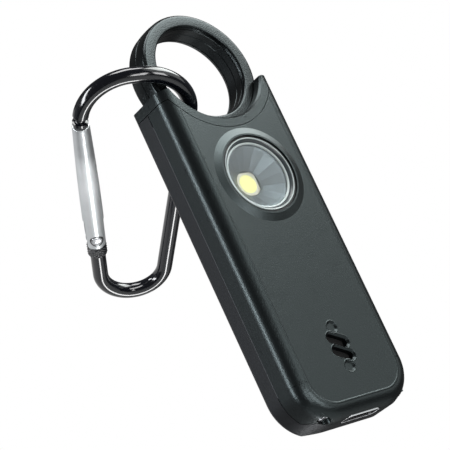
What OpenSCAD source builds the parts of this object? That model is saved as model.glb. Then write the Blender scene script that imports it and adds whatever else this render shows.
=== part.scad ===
// Personal safety alarm: a slim two-cover housing with a lamp, a siren behind two
// slanted slots, a charging socket at the bottom end, and a pull ring nested in the
// notch at the top. A pear-shaped carabiner is threaded through the pull ring.
// Millimetres. X to the right seen from the front, Y from front to back, Z up.
// The origin is the middle of the flat bottom end.

/* [Housing] */
// Width of the housing
body_w = 28.5; // [27:0.5:31]
// Depth of the housing, front face to back face
body_d = 10.6; // [10:0.1:10.8]
// Height of the housing, bottom end to horn tips
body_h = 71; // [69:0.5:78]
// Radius of the two bottom corners seen from the front
corner_r = 8.25; // [7.5:0.25:9]
// Rounding of the edge round the front face
front_edge_r = 2.7; // [2.2:0.1:3]
// Rounding of the edge round the back face
back_edge_r = 1; // [0.6:0.1:1.4]
// Wall thickness of both covers
wall = 1.5; // [1.2:0.1:1.6]
// Parting plane of the covers, behind the front face
parting_depth = 6.3; // [6.1:0.1:6.6]
// How far the rear cover's tongue steps forward across the bottom end
tongue_step = 2.4; // [2:0.1:2.6]
// Inset of that tongue from each side, at the parting plane
tongue_inset = 2.5; // [2:0.1:3]

/* [Notch and pull ring] */
// Radius of the notch between the two horns
notch_r = 12.4; // [11.8:0.1:12.6]
// Depth of the notch below the horn tips
notch_depth = 7.9; // [7:0.1:8.6]
// Width of the ring seat's band round the notch
seat_band = 2.1; // [1.9:0.1:2.6]
// Outer radius of the pull ring
ring_r = 13.1; // [12.7:0.1:13.2]
// Width of the ring's band seen from the front
ring_band = 3.1; // [2.7:0.1:3.3]
// Depth of the ring in front of its seam
ring_front_d = 2.85; // [2.5:0.05:3]
// Depth of the ring behind its seam
ring_rear_d = 3.35; // [2.9:0.05:3.5]
// Rounding of the ring's edges
ring_edge_r = 0.8; // [0.4:0.1:1]
// Chamfer on the lips of the notch
lip_chamfer = 0.4; // [0.2:0.1:0.6]
// How far the ring sits below the lip of the notch
ring_sink = 1.25; // [1:0.05:1.45]
// Diameter of the pull pin under the ring
pin_d = 2.4; // [2:0.1:2.6]
// Reach of the pull pin below the ring
pin_reach = 5.2; // [4.6:0.1:5.6]

/* [Lamp] */
// Lamp centre below the lip of the notch
lamp_drop = 12.9; // [12.4:0.1:15]
// Diameter of the lamp opening in the front cover
lamp_d = 16.7; // [14.5:0.1:17]
// Radial width of the raised collar round the lamp
collar_w = 1.85; // [1.2:0.05:2.2]
// Height of the collar above the front face
collar_h = 0.5; // [0.3:0.05:0.7]
// Diameter of the reflector's mouth
reflector_d = 13.3; // [11:0.1:13.4]
// Side of the square lamp chip
chip_w = 5; // [4:0.1:5]

/* [Siren slots] */
// Height of the middle of the slot group
vent_z = 13.1; // [12.8:0.1:16]
// Spacing of slots and dimples along the housing
vent_pitch = 2.7; // [2.5:0.1:3]
// Length of one slot
slot_l = 4.7; // [4:0.1:5.2]
// Width of one slot
slot_w = 1.8; // [1.2:0.1:1.9]
// Slant of the slots, falling to the right
slot_slant = 28; // [0:1:35]
// Diameter of the two blind dimples
dimple_d = 2.5; // [1.8:0.1:2.6]

/* [Bottom end and inside] */
// Width of the charging socket's shell
usb_w = 8.94; // [8.4:0.02:9]
// Height of the charging socket's shell
usb_h = 3.26; // [3:0.02:3.3]
// Length of the charging socket's shell
usb_len = 7.2; // [6.2:0.1:7.2]
// Inset of each end screw from the side
screw_inset = 4.8; // [4.7:0.1:5.5]
// Front of the circuit board, behind the front face
board_depth = 4.95; // [4.8:0.05:5]
// Length of the battery
battery_l = 36; // [28:0.5:37]
// Diameter of the siren's sounder
sounder_d = 13; // [11.6:0.1:13]

/* [Carabiner] */
// Diameter of the carabiner wire
wire_d = 3.2; // [2.6:0.1:3.2]
// Radius of the wide end, to the wire's centre
clip_top_r = 10; // [9.8:0.1:10.6]
// Radius of the narrow end, to the wire's centre
clip_bottom_r = 6.85; // [6.4:0.05:7.4]
// Straight piece at the top of the wide end
clip_flat = 1.6; // [1.2:0.1:2.4]
// Distance between the centres of the two ends
clip_len = 42.8; // [40:0.2:46]
// Rivet of the gate, measured down from the nose
rivet_drop = 30.8; // [29:0.1:32]
// Diameter of the gate at its hinge end
gate_d = 4.3; // [4:0.1:4.5]
// Diameter of the gate at its nose end
gate_nose_d = 3.5; // [3.2:0.1:3.8]

/* [Hidden] */
$fn = 64;
// Overshoot of cutting shapes
over = 1;
// Gap of pieces that only lie beside each other
seat_gap = 0.1;
// Radial gap of a pin in its hole where the pin stays put
pin_gap = 0.02;
// Radial gap of a pin that turns or slides in its hole
run_gap = 0.05;
// Gap between pieces that move past each other
move_gap = 0.25;

half_w = body_w / 2;
front_y = -body_d / 2;
back_y = body_d / 2;
parting_y = front_y + parting_depth;
tongue_y = parting_y - tongue_step;
tongue_w = body_w - 2 * tongue_inset;
tongue_taper = 1.7;
tongue_h = 3.2;
inner_front_y = front_y + wall;
inner_back_y = back_y - wall;
corner_x = half_w - corner_r;
min_edge_r = 0.3;
// Shadow groove where two housing pieces meet
joint_gap = 0.14;
joint_depth = 0.5;
// Fine line across the front rounding where the corners begin
line_w = 0.14;
line_depth = 0.15;
// Slope at the back of the bottom end
end_slope_d = 3;
end_slope_h = 1.2;

notch_bottom_z = body_h - notch_depth;
notch_z = notch_bottom_z + notch_r;
seat_r = notch_r + seat_band;
horn_cap_z = body_h - seat_band;
roof_r = seat_r + wall;
roof_z = notch_z - roof_r;

ring_bottom_z = notch_bottom_z - ring_sink;
ring_z = ring_bottom_z + ring_r;
ring_in_r = ring_r - ring_band;
pin_top_z = ring_bottom_z + 0.65 * ring_band;
pin_bottom_z = ring_bottom_z - pin_reach;

board_y = front_y + board_depth;
board_t = 1;
board_back_y = board_y + board_t;
board_w = body_w - 2 * wall - 1.4;
board_foot_z = wall + 0.4;
board_shoulder_z = 6.3;
switch_h = 4.2;
switch_w = 6;
switch_d = 3.2;
switch_top_z = roof_z - seat_gap;
board_top_z = switch_top_z - switch_h;
contact_t = 0.3;
contact_w = 1.6;
contact_z = pin_bottom_z - 0.7;
post_r = 1.2;
post_x = board_w / 2 - 1.8;
post_low_z = 8;
post_drop = 4;
post_high_z = board_top_z - post_drop;

lamp_z = notch_bottom_z - lamp_drop;
lamp_r = lamp_d / 2;
collar_r = lamp_r + collar_w;
collar_rim = 0.35;
gasket_w = 0.45;
lens_r = lamp_r - gasket_w;
lens_front_y = front_y - 0.7 * collar_h;
lens_bevel = 0.5;
lens_rim = 0.75;
lens_dish = 0.2;
lens_back_y = front_y + 1;
reflector_r = reflector_d / 2;
reflector_wall = 0.6;
flange_t = 0.5;
chip_t = 0.65;
phosphor_r = 0.4 * chip_w;
phosphor_t = 0.2;
reflector_foot_r = 0.54 * chip_w;
skirt_in_r = chip_w * sqrt(2) / 2 + 0.15;
skirt_out_r = skirt_in_r + 0.7;
reflector_floor_y = board_y - chip_t - 0.25;
cone_rate = (reflector_r - reflector_foot_r) / (reflector_floor_y - lens_back_y);
skirt_y = reflector_floor_y - (skirt_out_r - reflector_foot_r - reflector_wall) / cone_rate;

sounder_z = vent_z + 1.1;
sounder_t = 3;
sounder_front_y = board_y - sounder_t;
mesh_d = 9.4;
mesh_t = 0.25;
slot_bevel = 0.4;
dimple_depth = 0.35;

usb_y = board_y - usb_h / 2;
usb_mouth_z = 0.05;
usb_corner_r = 1.2;
usb_wall = 0.3;
usb_back = 0.8;
usb_gap = 0.15;
usb_plate_w = 6.6;
usb_plate_t = 0.7;
usb_plate_z = usb_mouth_z + 0.9;

screw_x = half_w - screw_inset;
screw_y = tongue_y - 1.3;
screw_recess_r = 1.25;
screw_head_r = 1.05;
screw_head_h = 0.7;
screw_r = 0.6;
screw_seat_z = 1.9;
screw_len = 3.6;
boss_r = 1.05;
boss_low_z = 3.65;
boss_high_z = 6;
web_w = 2;
pad_w = 2.4;
board_tongue_w = 2 * screw_x - web_w - 2.2;

battery_w = body_w - 2 * wall - 5;
battery_pad_inset = 2;
battery_z = 28;
battery_gap = 0.3;
battery_edge_r = 0.8;
pad_t = 0.3;

wire_r = wire_d / 2;
clip_half = clip_flat / 2;
clip_turn = [154.4, 13.8, -26.5];
thread_angle = 236.4;
thread_gap = 1;
thread_r = ring_in_r - wire_r - thread_gap;
thread_y = 0.3;
leg_angle = asin((clip_top_r - clip_bottom_r) / norm([clip_len, clip_half])) + atan(clip_half / clip_len);
leg_len = sqrt(clip_len * clip_len + clip_half * clip_half - pow(clip_top_r - clip_bottom_r, 2));
bottom_sweep = 180 - 2 * leg_angle;
// Straight pieces of the wire are a hair thinner than its bends and lap into them
bend_step = 0.02;
bend_lap = 0.25;
straight_r = wire_r - bend_step;
neck_r = 0.68 * wire_r;
neck_len = 0.9;
neck_turn = neck_len / clip_top_r * 180 / PI;
rivet_r = 0.7;
rivet_head_r = 1.15;
rivet_head_h = 0.4;
rivet_seat_z = 0.88 * gate_d / 2;
gate_end_r = 2.2;
gate_bore_r = 1;
gate_bore_y = 14;
gate_slot_t = 2;
gate_slot_reach = 4.9;
gate_slot_y = rivet_drop - gate_slot_reach;
tang_t = 1.6;
tang_r = 1.4;
tang_w = 2.4;
collar_y = rivet_drop + gate_end_r + move_gap;
collar_len = 2.8;
hinge_collar_r = 2.1;
knurl_r = 0.2;
knurl_n = 3;
spring_r = 0.9;
spring_wall = 0.35;

// Shared shapes

// Half profile of the housing's edge: out along x, front to back along y
module edge_profile(reach, inset) {
    front_r = max(front_edge_r - inset, min_edge_r);
    back_r = max(back_edge_r - inset, min_edge_r);
    y0 = front_y + inset;
    y1 = back_y - inset;
    translate([0, y0])
        square([reach - front_r, front_r]);
    translate([reach - front_r, y0 + front_r])
        intersection() {
            circle(front_r);
            translate([0, -front_r])
                square(front_r);
        }
    translate([0, y0 + front_r])
        square([reach, y1 - y0 - front_r - back_r]);
    translate([0, y1 - back_r])
        square([reach - back_r, back_r]);
    translate([reach - back_r, y1 - back_r])
        intersection() {
            circle(back_r);
            square(back_r);
        }
}

// The housing's full form, or the same form drawn in by an inset
module body_form(inset) {
    translate([0, 0, corner_r])
        linear_extrude(body_h - corner_r) {
            edge_profile(half_w - inset, inset);
            mirror([1, 0])
                edge_profile(half_w - inset, inset);
        }
    for (side = [0, 1])
        mirror([side, 0, 0])
            translate([corner_x, 0, corner_r])
                rotate([-90, 0, 0])
                    rotate_extrude(angle = 90)
                        edge_profile(corner_r - inset, inset);
    translate([-corner_x, 0, corner_r])
        rotate([0, 90, 0])
            linear_extrude(2 * corner_x)
                edge_profile(corner_r - inset, inset);
}

// Round bar along Y between two depths
module bar_y(r, y0, y1) {
    translate([0, y0, 0])
        rotate([-90, 0, 0])
            cylinder(r = r, h = y1 - y0);
}

// Turned shape about a line along Y, drawn as radius and depth
module turned_y() {
    rotate([-90, 0, 0])
        rotate_extrude()
            children();
}

module rounded_rect(w, h, r) {
    translate([-w / 2 + r, -h / 2])
        square([w - 2 * r, h]);
    for (side = [-1, 1])
        translate([side * (w / 2 - r), 0]) {
            square([2 * r, h - 2 * r], center = true);
            for (end = [-1, 1])
                translate([0, end * (h / 2 - r)])
                    circle(r);
        }
}

module ring_shape(r_out, r_in, y0, y1) {
    difference() {
        bar_y(r_out, y0, y1);
        bar_y(r_in, y0 - over, y1 + over);
    }
}

// Space taken by the ring seat, the band round the notch and both horn caps, or grown
module seat_space(grow) {
    translate([0, 0, notch_z])
        bar_y(seat_r + grow, front_y - over, back_y + over);
    translate([-half_w - over, front_y - over, horn_cap_z - grow])
        cube([body_w + 2 * over, body_d + 2 * over, seat_band + grow + over]);
}

// Hollow inside of the two covers
module cavity() {
    difference() {
        body_form(wall);
        translate([0, 0, notch_z])
            bar_y(roof_r, front_y - over, back_y + over);
    }
}

// Tongue of the rear cover across the bottom end, or the same space grown
module tongue_space(grow) {
    wide = tongue_w / 2 + grow;
    translate([0, 0, -over])
        linear_extrude(tongue_h + over)
            polygon([
                [-wide, parting_y + over],
                [-wide, parting_y - grow],
                [-wide + tongue_taper, tongue_y - grow],
                [wide - tongue_taper, tongue_y - grow],
                [wide, parting_y - grow],
                [wide, parting_y + over]
            ]);
}

// Shadow groove round the ring seat, cut into the covers' skin
module seat_groove() {
    difference() {
        seat_space(joint_gap);
        body_form(joint_depth);
    }
}

// Shadow groove between the covers, cut into the front cover's skin
module parting_groove() {
    difference() {
        union() {
            translate([-body_w, parting_y - joint_gap, -over])
                cube([2 * body_w, joint_gap + over, body_h + 2 * over]);
            tongue_space(joint_gap);
        }
        body_form(joint_depth);
    }
}

// Fine lines across the front rounding, where the bottom corners begin
module corner_lines() {
    difference() {
        for (side = [0, 1])
            mirror([side, 0, 0])
                translate([half_w - front_edge_r, front_y - over, corner_r])
                    cube([front_edge_r + over, front_edge_r + over, line_w]);
        body_form(line_depth);
    }
}

// Slope along the back edge of the bottom end
module end_slope() {
    translate([-body_w, 0, 0])
        rotate([90, 0, 90])
            linear_extrude(2 * body_w)
                polygon([
                    [back_y - end_slope_d, 0],
                    [back_y, end_slope_h],
                    [back_y + over, end_slope_h],
                    [back_y + over, -over],
                    [back_y - end_slope_d, -over]
                ]);
}

module usb_opening() {
    translate([0, usb_y, -over])
        linear_extrude(wall + 2 * over)
            rounded_rect(usb_w + 2 * usb_gap, usb_h + 2 * usb_gap, usb_corner_r + usb_gap);
}

module pin_passage() {
    translate([0, 0, pin_bottom_z])
        cylinder(d = pin_d + 2 * move_gap, h = ring_z - pin_bottom_z);
}

// One slanted sound slot with a bevelled rim, at its place on the front face
module sound_slot() {
    run = slot_l - slot_w;
    rotate([0, slot_slant, 0]) {
        for (end = [-1, 1])
            translate([end * run / 2, 0, 0]) {
                bar_y(slot_w / 2, front_y - over, inner_front_y + over);
                turned_y()
                    polygon([
                        [0, front_y - slot_bevel],
                        [slot_w / 2 + 2 * slot_bevel, front_y - slot_bevel],
                        [slot_w / 2, front_y + slot_bevel],
                        [0, front_y + slot_bevel]
                    ]);
            }
        translate([-run / 2, front_y - over, -slot_w / 2])
            cube([run, wall + 2 * over, slot_w]);
        translate([-run / 2, 0, 0])
            rotate([90, 0, 90])
                linear_extrude(run)
                    polygon([
                        [front_y - slot_bevel, -slot_w / 2 - 2 * slot_bevel],
                        [front_y - slot_bevel, slot_w / 2 + 2 * slot_bevel],
                        [front_y + slot_bevel, slot_w / 2],
                        [front_y + slot_bevel, -slot_w / 2]
                    ]);
    }
}

module at_screws() {
    for (side = [-1, 1])
        translate([side * screw_x, screw_y, 0])
            children();
}

// Housing pieces

module front_cover() {
    color([0.27, 0.3, 0.3])
        difference() {
            union() {
                difference() {
                    intersection() {
                        body_form(0);
                        translate([-body_w, front_y - over, -over])
                            cube([2 * body_w, parting_depth + over, body_h + 2 * over]);
                    }
                    cavity();
                    tongue_space(0);
                }
                translate([0, 0, lamp_z])
                    turned_y()
                        polygon([
                            [lamp_r, front_y - collar_h],
                            [lamp_r + collar_rim, front_y - collar_h],
                            [collar_r, front_y],
                            [collar_r, front_y + wall / 2],
                            [lamp_r, front_y + wall / 2]
                        ]);
                at_screws()
                    translate([-pad_w / 2, inner_front_y - screw_y - wall / 3, screw_seat_z - 0.2])
                        cube([pad_w, tongue_y - seat_gap - inner_front_y + wall / 3, boss_low_z - seat_gap - screw_seat_z + 0.2]);
            }
            seat_space(0);
            seat_groove();
            parting_groove();
            corner_lines();
            pin_passage();
            usb_opening();
            translate([0, 0, lamp_z])
                bar_y(lamp_r, front_y - over, inner_front_y + over);
            for (step = [-0.5, 0.5])
                translate([0, 0, vent_z + step * vent_pitch])
                    sound_slot();
            for (step = [-1.5, 1.5])
                translate([0, front_y, vent_z + step * vent_pitch])
                    rotate([-90, 0, 0])
                        cylinder(d1 = dimple_d, d2 = 0.7 * dimple_d, h = dimple_depth);
            at_screws() {
                translate([0, 0, -over])
                    cylinder(r = screw_recess_r, h = screw_seat_z + over);
                cylinder(r = screw_r + seat_gap, h = boss_high_z);
            }
        }
}

module rear_cover() {
    color([0.16, 0.17, 0.19])
        difference() {
            union() {
                difference() {
                    intersection() {
                        body_form(0);
                        union() {
                            translate([-body_w, parting_y, -over])
                                cube([2 * body_w, body_d, body_h + 2 * over]);
                            tongue_space(0);
                        }
                    }
                    cavity();
                }
                at_screws() {
                    translate([0, 0, boss_low_z])
                        cylinder(r = boss_r, h = boss_high_z - boss_low_z);
                    translate([-web_w / 2, 0, boss_low_z])
                        cube([web_w, inner_back_y + wall / 2 - screw_y, boss_high_z - boss_low_z]);
                }
                for (side = [-1, 1], z = [post_low_z, post_high_z])
                    translate([side * post_x, 0, z])
                        bar_y(post_r, board_back_y, inner_back_y + wall / 2);
            }
            seat_space(0);
            seat_groove();
            end_slope();
            pin_passage();
            usb_opening();
            at_screws()
                cylinder(r = screw_r + pin_gap, h = boss_high_z + over);
        }
}

module ring_seat() {
    color([0.24, 0.27, 0.27])
        difference() {
            intersection() {
                body_form(0);
                seat_space(0);
            }
            translate([0, 0, notch_z])
                turned_y()
                    polygon([
                        [0, front_y - lip_chamfer],
                        [notch_r + 2 * lip_chamfer, front_y - lip_chamfer],
                        [notch_r, front_y + lip_chamfer],
                        [notch_r, back_y - lip_chamfer],
                        [notch_r + 2 * lip_chamfer, back_y + lip_chamfer],
                        [0, back_y + lip_chamfer]
                    ]);
            translate([0, 0, ring_z])
                bar_y(ring_r + move_gap, -ring_front_d - move_gap, ring_rear_d + move_gap);
            pin_passage();
        }
}

module end_screws() {
    color([0.45, 0.46, 0.48])
        at_screws() {
            translate([0, 0, screw_seat_z - screw_head_h])
                cylinder(r = screw_head_r, h = screw_head_h);
            translate([0, 0, screw_seat_z - screw_head_h / 2])
                cylinder(r = screw_r, h = screw_len + screw_head_h / 2);
        }
}

// Lamp

module lens() {
    color([0.85, 0.88, 0.9])
        translate([0, 0, lamp_z])
            turned_y()
                polygon([
                    [0, lens_front_y + lens_dish],
                    [lens_r - lens_bevel - lens_rim - lens_dish, lens_front_y + lens_dish],
                    [lens_r - lens_bevel - lens_rim, lens_front_y],
                    [lens_r - lens_bevel, lens_front_y],
                    [lens_r, lens_front_y + lens_bevel],
                    [lens_r, lens_back_y],
                    [0, lens_back_y]
                ]);
}

module lens_gasket() {
    color([0.03, 0.03, 0.03])
        translate([0, 0, lamp_z])
            ring_shape(lamp_r - pin_gap, lens_r + pin_gap, front_y - 0.2 * collar_h, lens_back_y + flange_t);
}

module reflector() {
    color([0.55, 0.6, 0.65])
        translate([0, 0, lamp_z])
            turned_y()
                polygon([
                    [reflector_foot_r, reflector_floor_y],
                    [reflector_r, lens_back_y],
                    [lens_r - seat_gap, lens_back_y],
                    [lens_r - seat_gap, lens_back_y + flange_t],
                    [reflector_r + reflector_wall - flange_t * cone_rate, lens_back_y + flange_t],
                    [skirt_out_r, skirt_y],
                    [skirt_out_r, board_y],
                    [skirt_in_r, board_y],
                    [skirt_in_r, reflector_floor_y]
                ]);
}

module led_package() {
    color([0.88, 0.87, 0.8])
        translate([-chip_w / 2, board_y - chip_t, lamp_z - chip_w / 2])
            cube([chip_w, chip_t, chip_w]);
}

module led_phosphor() {
    color([0.9, 0.75, 0.2])
        translate([0, 0, lamp_z])
            bar_y(phosphor_r, board_y - chip_t - phosphor_t, board_y - chip_t);
}

// Inside pieces

module main_board() {
    color([0.1, 0.3, 0.18])
        translate([0, board_back_y, 0])
            rotate([90, 0, 0])
                linear_extrude(board_t) {
                    translate([-board_w / 2, board_shoulder_z])
                        square([board_w, board_top_z - board_shoulder_z]);
                    translate([-board_tongue_w / 2, board_foot_z])
                        square([board_tongue_w, board_shoulder_z - board_foot_z + over]);
                }
}

module usb_shell() {
    color([0.7, 0.71, 0.73])
        translate([0, usb_y, usb_mouth_z])
            difference() {
                linear_extrude(usb_len)
                    rounded_rect(usb_w, usb_h, usb_corner_r);
                translate([0, 0, -over])
                    linear_extrude(usb_len - usb_back + over)
                        rounded_rect(usb_w - 2 * usb_wall, usb_h - 2 * usb_wall, usb_corner_r - usb_wall);
            }
}

module usb_tongue() {
    color([0.08, 0.08, 0.09])
        translate([-usb_plate_w / 2, usb_y - usb_plate_t / 2, usb_plate_z])
            cube([usb_plate_w, usb_plate_t, usb_mouth_z + usb_len - usb_back - usb_plate_z]);
}

module battery() {
    color([0.6, 0.62, 0.64])
        translate([0, 0, battery_z - battery_l / 2])
            linear_extrude(battery_l)
                translate([0, (board_back_y + battery_gap + inner_back_y - pad_t) / 2])
                    rounded_rect(battery_w, inner_back_y - pad_t - board_back_y - battery_gap, battery_edge_r);
}

module battery_pad() {
    color([0.2, 0.2, 0.22])
        translate([-battery_w / 2 + battery_pad_inset, inner_back_y - pad_t, battery_z - battery_l / 2 + battery_pad_inset])
            cube([battery_w - 2 * battery_pad_inset, pad_t, battery_l - 2 * battery_pad_inset]);
}

module sounder() {
    color([0.07, 0.07, 0.08])
        translate([0, 0, sounder_z])
            difference() {
                bar_y(sounder_d / 2, sounder_front_y, board_y);
                bar_y(sounder_d / 8, sounder_front_y - over, sounder_front_y + sounder_t / 3);
            }
}

module sounder_gasket() {
    color([0.12, 0.12, 0.12])
        translate([0, 0, sounder_z])
            ring_shape(sounder_d / 2 - 0.5, mesh_d / 2 + seat_gap, inner_front_y, sounder_front_y);
}

module sound_mesh() {
    color([0.02, 0.02, 0.02])
        translate([0, 0, sounder_z])
            bar_y(mesh_d / 2, inner_front_y, inner_front_y + mesh_t);
}

module pull_switch() {
    color([0.15, 0.15, 0.16])
        difference() {
            translate([-switch_w / 2, -switch_d / 2, board_top_z])
                cube([switch_w, switch_d, switch_h]);
            translate([0, 0, contact_z + contact_t])
                cylinder(d = pin_d + 2 * run_gap, h = switch_h);
            translate([-contact_w / 2, -switch_d / 2 + 0.4, contact_z])
                cube([contact_w, switch_d, contact_t + over / 2]);
        }
}

module switch_contact() {
    color([0.75, 0.62, 0.3])
        translate([-contact_w / 2, -switch_d / 2 + 0.4, contact_z])
            cube([contact_w, switch_d - 0.4, contact_t]);
}

// Pull ring

// Half of the ring in front of its seam, to a given depth
module ring_half(depth) {
    translate([0, 0, ring_z])
        turned_y() {
            translate([ring_in_r, -depth + ring_edge_r])
                square([ring_band, depth - ring_edge_r]);
            translate([ring_in_r + ring_edge_r, -depth])
                square([ring_band - 2 * ring_edge_r, ring_edge_r]);
            translate([ring_in_r + ring_edge_r, -depth + ring_edge_r])
                intersection() {
                    circle(ring_edge_r);
                    translate([-ring_edge_r, -ring_edge_r])
                        square(ring_edge_r);
                }
            translate([ring_r - ring_edge_r, -depth + ring_edge_r])
                intersection() {
                    circle(ring_edge_r);
                    translate([0, -ring_edge_r])
                        square(ring_edge_r);
                }
        }
}

module pin_socket() {
    translate([0, 0, pin_bottom_z])
        cylinder(r = pin_d / 2 + pin_gap, h = pin_top_z - pin_bottom_z);
}

module ring_front() {
    color([0.4, 0.43, 0.44])
        difference() {
            ring_half(ring_front_d);
            pin_socket();
        }
}

module ring_rear() {
    color([0.33, 0.35, 0.37])
        difference() {
            mirror([0, 1, 0])
                ring_half(ring_rear_d);
            pin_socket();
        }
}

module pull_pin() {
    color([0.72, 0.73, 0.75])
        translate([0, 0, pin_bottom_z])
            cylinder(d = pin_d, h = pin_top_z - pin_bottom_z);
}

// Carabiner

// Puts the loop's own plane in place, with its spine side inside the pull ring
module on_clip() {
    translate([thread_r * cos(thread_angle), thread_y, ring_z + thread_r * sin(thread_angle)])
        rotate(clip_turn)
            translate([-clip_top_r - clip_half, 0, 0])
                children();
}

// Spine leg: x outward, y up along the leg from the narrow end to the wide end
module on_spine() {
    on_clip()
        translate([clip_half, 0, 0])
            rotate([0, 0, -leg_angle])
                translate([clip_top_r, 0, 0])
                    children();
}

// Gate leg: x outward, y down along the leg from the nose, z across the loop
module on_gate_leg() {
    on_clip()
        translate([-clip_half, 0, 0])
            rotate([0, 0, 180 + leg_angle])
                translate([clip_top_r, 0, 0])
                    children();
}

module wire_arc(r, from, sweep, thick_r) {
    rotate([0, 0, from])
        rotate_extrude(angle = sweep)
            translate([r, 0])
                circle(thick_r);
}

module leg_bar(r, y0, y1) {
    translate([0, y0, 0])
        rotate([-90, 0, 0])
            cylinder(r = r, h = y1 - y0);
}

module carabiner_frame() {
    color([0.03, 0.03, 0.035]) {
        on_clip() {
            translate([-clip_half - bend_lap, clip_top_r, 0])
                rotate([0, 90, 0])
                    cylinder(r = straight_r, h = clip_flat + 2 * bend_lap);
            translate([-clip_half, 0, 0]) {
                wire_arc(clip_top_r, 90, 90 + leg_angle - 2 * neck_turn, wire_r);
                wire_arc(clip_top_r, 180 + leg_angle - 2.5 * neck_turn, 2 * neck_turn, neck_r);
                wire_arc(clip_top_r, 180 + leg_angle - neck_turn, neck_turn, wire_r);
            }
        }
        on_spine() {
            translate([-clip_top_r, 0, 0])
                wire_arc(clip_top_r, 0, 90 + leg_angle, wire_r);
            leg_bar(straight_r, -leg_len - bend_lap, bend_lap);
            translate([-clip_bottom_r, -leg_len, 0]) {
                wire_arc(clip_bottom_r, -bottom_sweep, bottom_sweep, wire_r);
                rotate([0, 0, -bottom_sweep])
                    translate([clip_bottom_r, 0, 0])
                        leg_bar(straight_r, collar_y + collar_len / 2 - leg_len, bend_lap);
            }
        }
        on_gate_leg() {
            difference() {
                leg_bar(hinge_collar_r, collar_y, collar_y + collar_len);
                for (i = [1 : knurl_n])
                    translate([0, collar_y + i * collar_len / (knurl_n + 1), 0])
                        rotate([90, 0, 0])
                            rotate_extrude()
                                translate([hinge_collar_r, 0])
                                    circle(knurl_r);
            }
            difference() {
                union() {
                    translate([-tang_w / 2, rivet_drop, -tang_t / 2])
                        cube([tang_w, collar_y - rivet_drop + collar_len / 2, tang_t]);
                    translate([0, rivet_drop, -tang_t / 2])
                        cylinder(r = tang_r, h = tang_t);
                }
                translate([0, rivet_drop, -tang_t])
                    cylinder(r = rivet_r + run_gap, h = 2 * tang_t);
            }
        }
    }
}

module gate() {
    color([0.75, 0.76, 0.78])
        on_gate_leg()
            difference() {
                intersection() {
                    translate([0, move_gap, 0])
                        rotate([-90, 0, 0])
                            cylinder(d1 = gate_nose_d, d2 = gate_d, h = rivet_drop + gate_end_r);
                    union() {
                        translate([-gate_d, 0, -gate_d])
                            cube([2 * gate_d, rivet_drop, 2 * gate_d]);
                        translate([0, rivet_drop, -gate_d])
                            cylinder(r = gate_end_r, h = 2 * gate_d);
                    }
                }
                leg_bar(gate_bore_r, gate_bore_y, gate_slot_y + over);
                translate([-gate_d, gate_slot_y, -gate_slot_t / 2])
                    cube([2 * gate_d, rivet_drop, gate_slot_t]);
                translate([0, rivet_drop, -gate_d])
                    cylinder(r = rivet_r + pin_gap, h = 2 * gate_d);
                for (side = [0, 1])
                    mirror([0, 0, side])
                        translate([0, rivet_drop, rivet_seat_z])
                            cylinder(r = rivet_head_r + pin_gap, h = gate_d);
            }
}

module gate_rivet() {
    color([0.8, 0.81, 0.83])
        on_gate_leg()
            translate([0, rivet_drop, 0]) {
                translate([0, 0, -rivet_seat_z])
                    cylinder(r = rivet_r, h = 2 * rivet_seat_z);
                for (side = [0, 1])
                    mirror([0, 0, side])
                        translate([0, 0, rivet_seat_z])
                            cylinder(r1 = rivet_head_r, r2 = 0.8 * rivet_head_r, h = rivet_head_h);
            }
}

module gate_spring() {
    color([0.6, 0.6, 0.6])
        on_gate_leg()
            difference() {
                leg_bar(spring_r, gate_bore_y, rivet_drop - tang_r - move_gap);
                leg_bar(spring_r - spring_wall, gate_bore_y - over, rivet_drop);
            }
}

front_cover();
rear_cover();
ring_seat();
lens();
lens_gasket();
reflector();
led_package();
led_phosphor();
main_board();
usb_shell();
usb_tongue();
battery();
battery_pad();
sounder();
sounder_gasket();
sound_mesh();
pull_switch();
switch_contact();
end_screws();
ring_front();
ring_rear();
pull_pin();
carabiner_frame();
gate();
gate_rivet();
gate_spring();
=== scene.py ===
"""Looks of a personal safety alarm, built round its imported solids.

Lengths in this file are millimetres in the part's own frame (X right seen from the
front, Y front to back, Z up from the bottom end); meshes are written in metres.
"""

import logging
import math
from dataclasses import dataclass, field, replace
from enum import Enum
from functools import cache, cached_property
from typing import Sequence

import bmesh
import bpy
import numpy as np
from mathutils import Matrix, Vector


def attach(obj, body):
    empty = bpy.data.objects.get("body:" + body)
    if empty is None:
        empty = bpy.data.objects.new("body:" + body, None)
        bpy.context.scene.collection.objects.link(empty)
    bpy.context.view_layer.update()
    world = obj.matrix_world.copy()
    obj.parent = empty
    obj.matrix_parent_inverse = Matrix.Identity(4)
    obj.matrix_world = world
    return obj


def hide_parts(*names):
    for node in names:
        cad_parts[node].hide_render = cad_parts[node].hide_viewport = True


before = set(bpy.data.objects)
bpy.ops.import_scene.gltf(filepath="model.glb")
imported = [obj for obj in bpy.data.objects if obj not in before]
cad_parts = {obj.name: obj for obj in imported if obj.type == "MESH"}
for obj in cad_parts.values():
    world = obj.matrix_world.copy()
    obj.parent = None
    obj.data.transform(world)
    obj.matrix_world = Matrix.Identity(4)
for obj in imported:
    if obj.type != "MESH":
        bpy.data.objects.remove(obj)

LOG = logging.getLogger("alarm")
MM = 0.001
TURN = 2.0 * math.pi
WELD_M = 2e-7
SLIVER_M = 1e-8
SQUARE = np.array([[1.0, 1.0], [-1.0, 1.0], [-1.0, -1.0], [1.0, -1.0]])
Pair = tuple[float, float]
Triple = tuple[float, float, float]
Colour = Triple


class Body(str, Enum):
    """Moving bodies of the part."""

    HOUSING = "housing"
    RING = "pull_ring"
    CLIP = "carabiner"
    GATE = "clip_gate"


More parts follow.
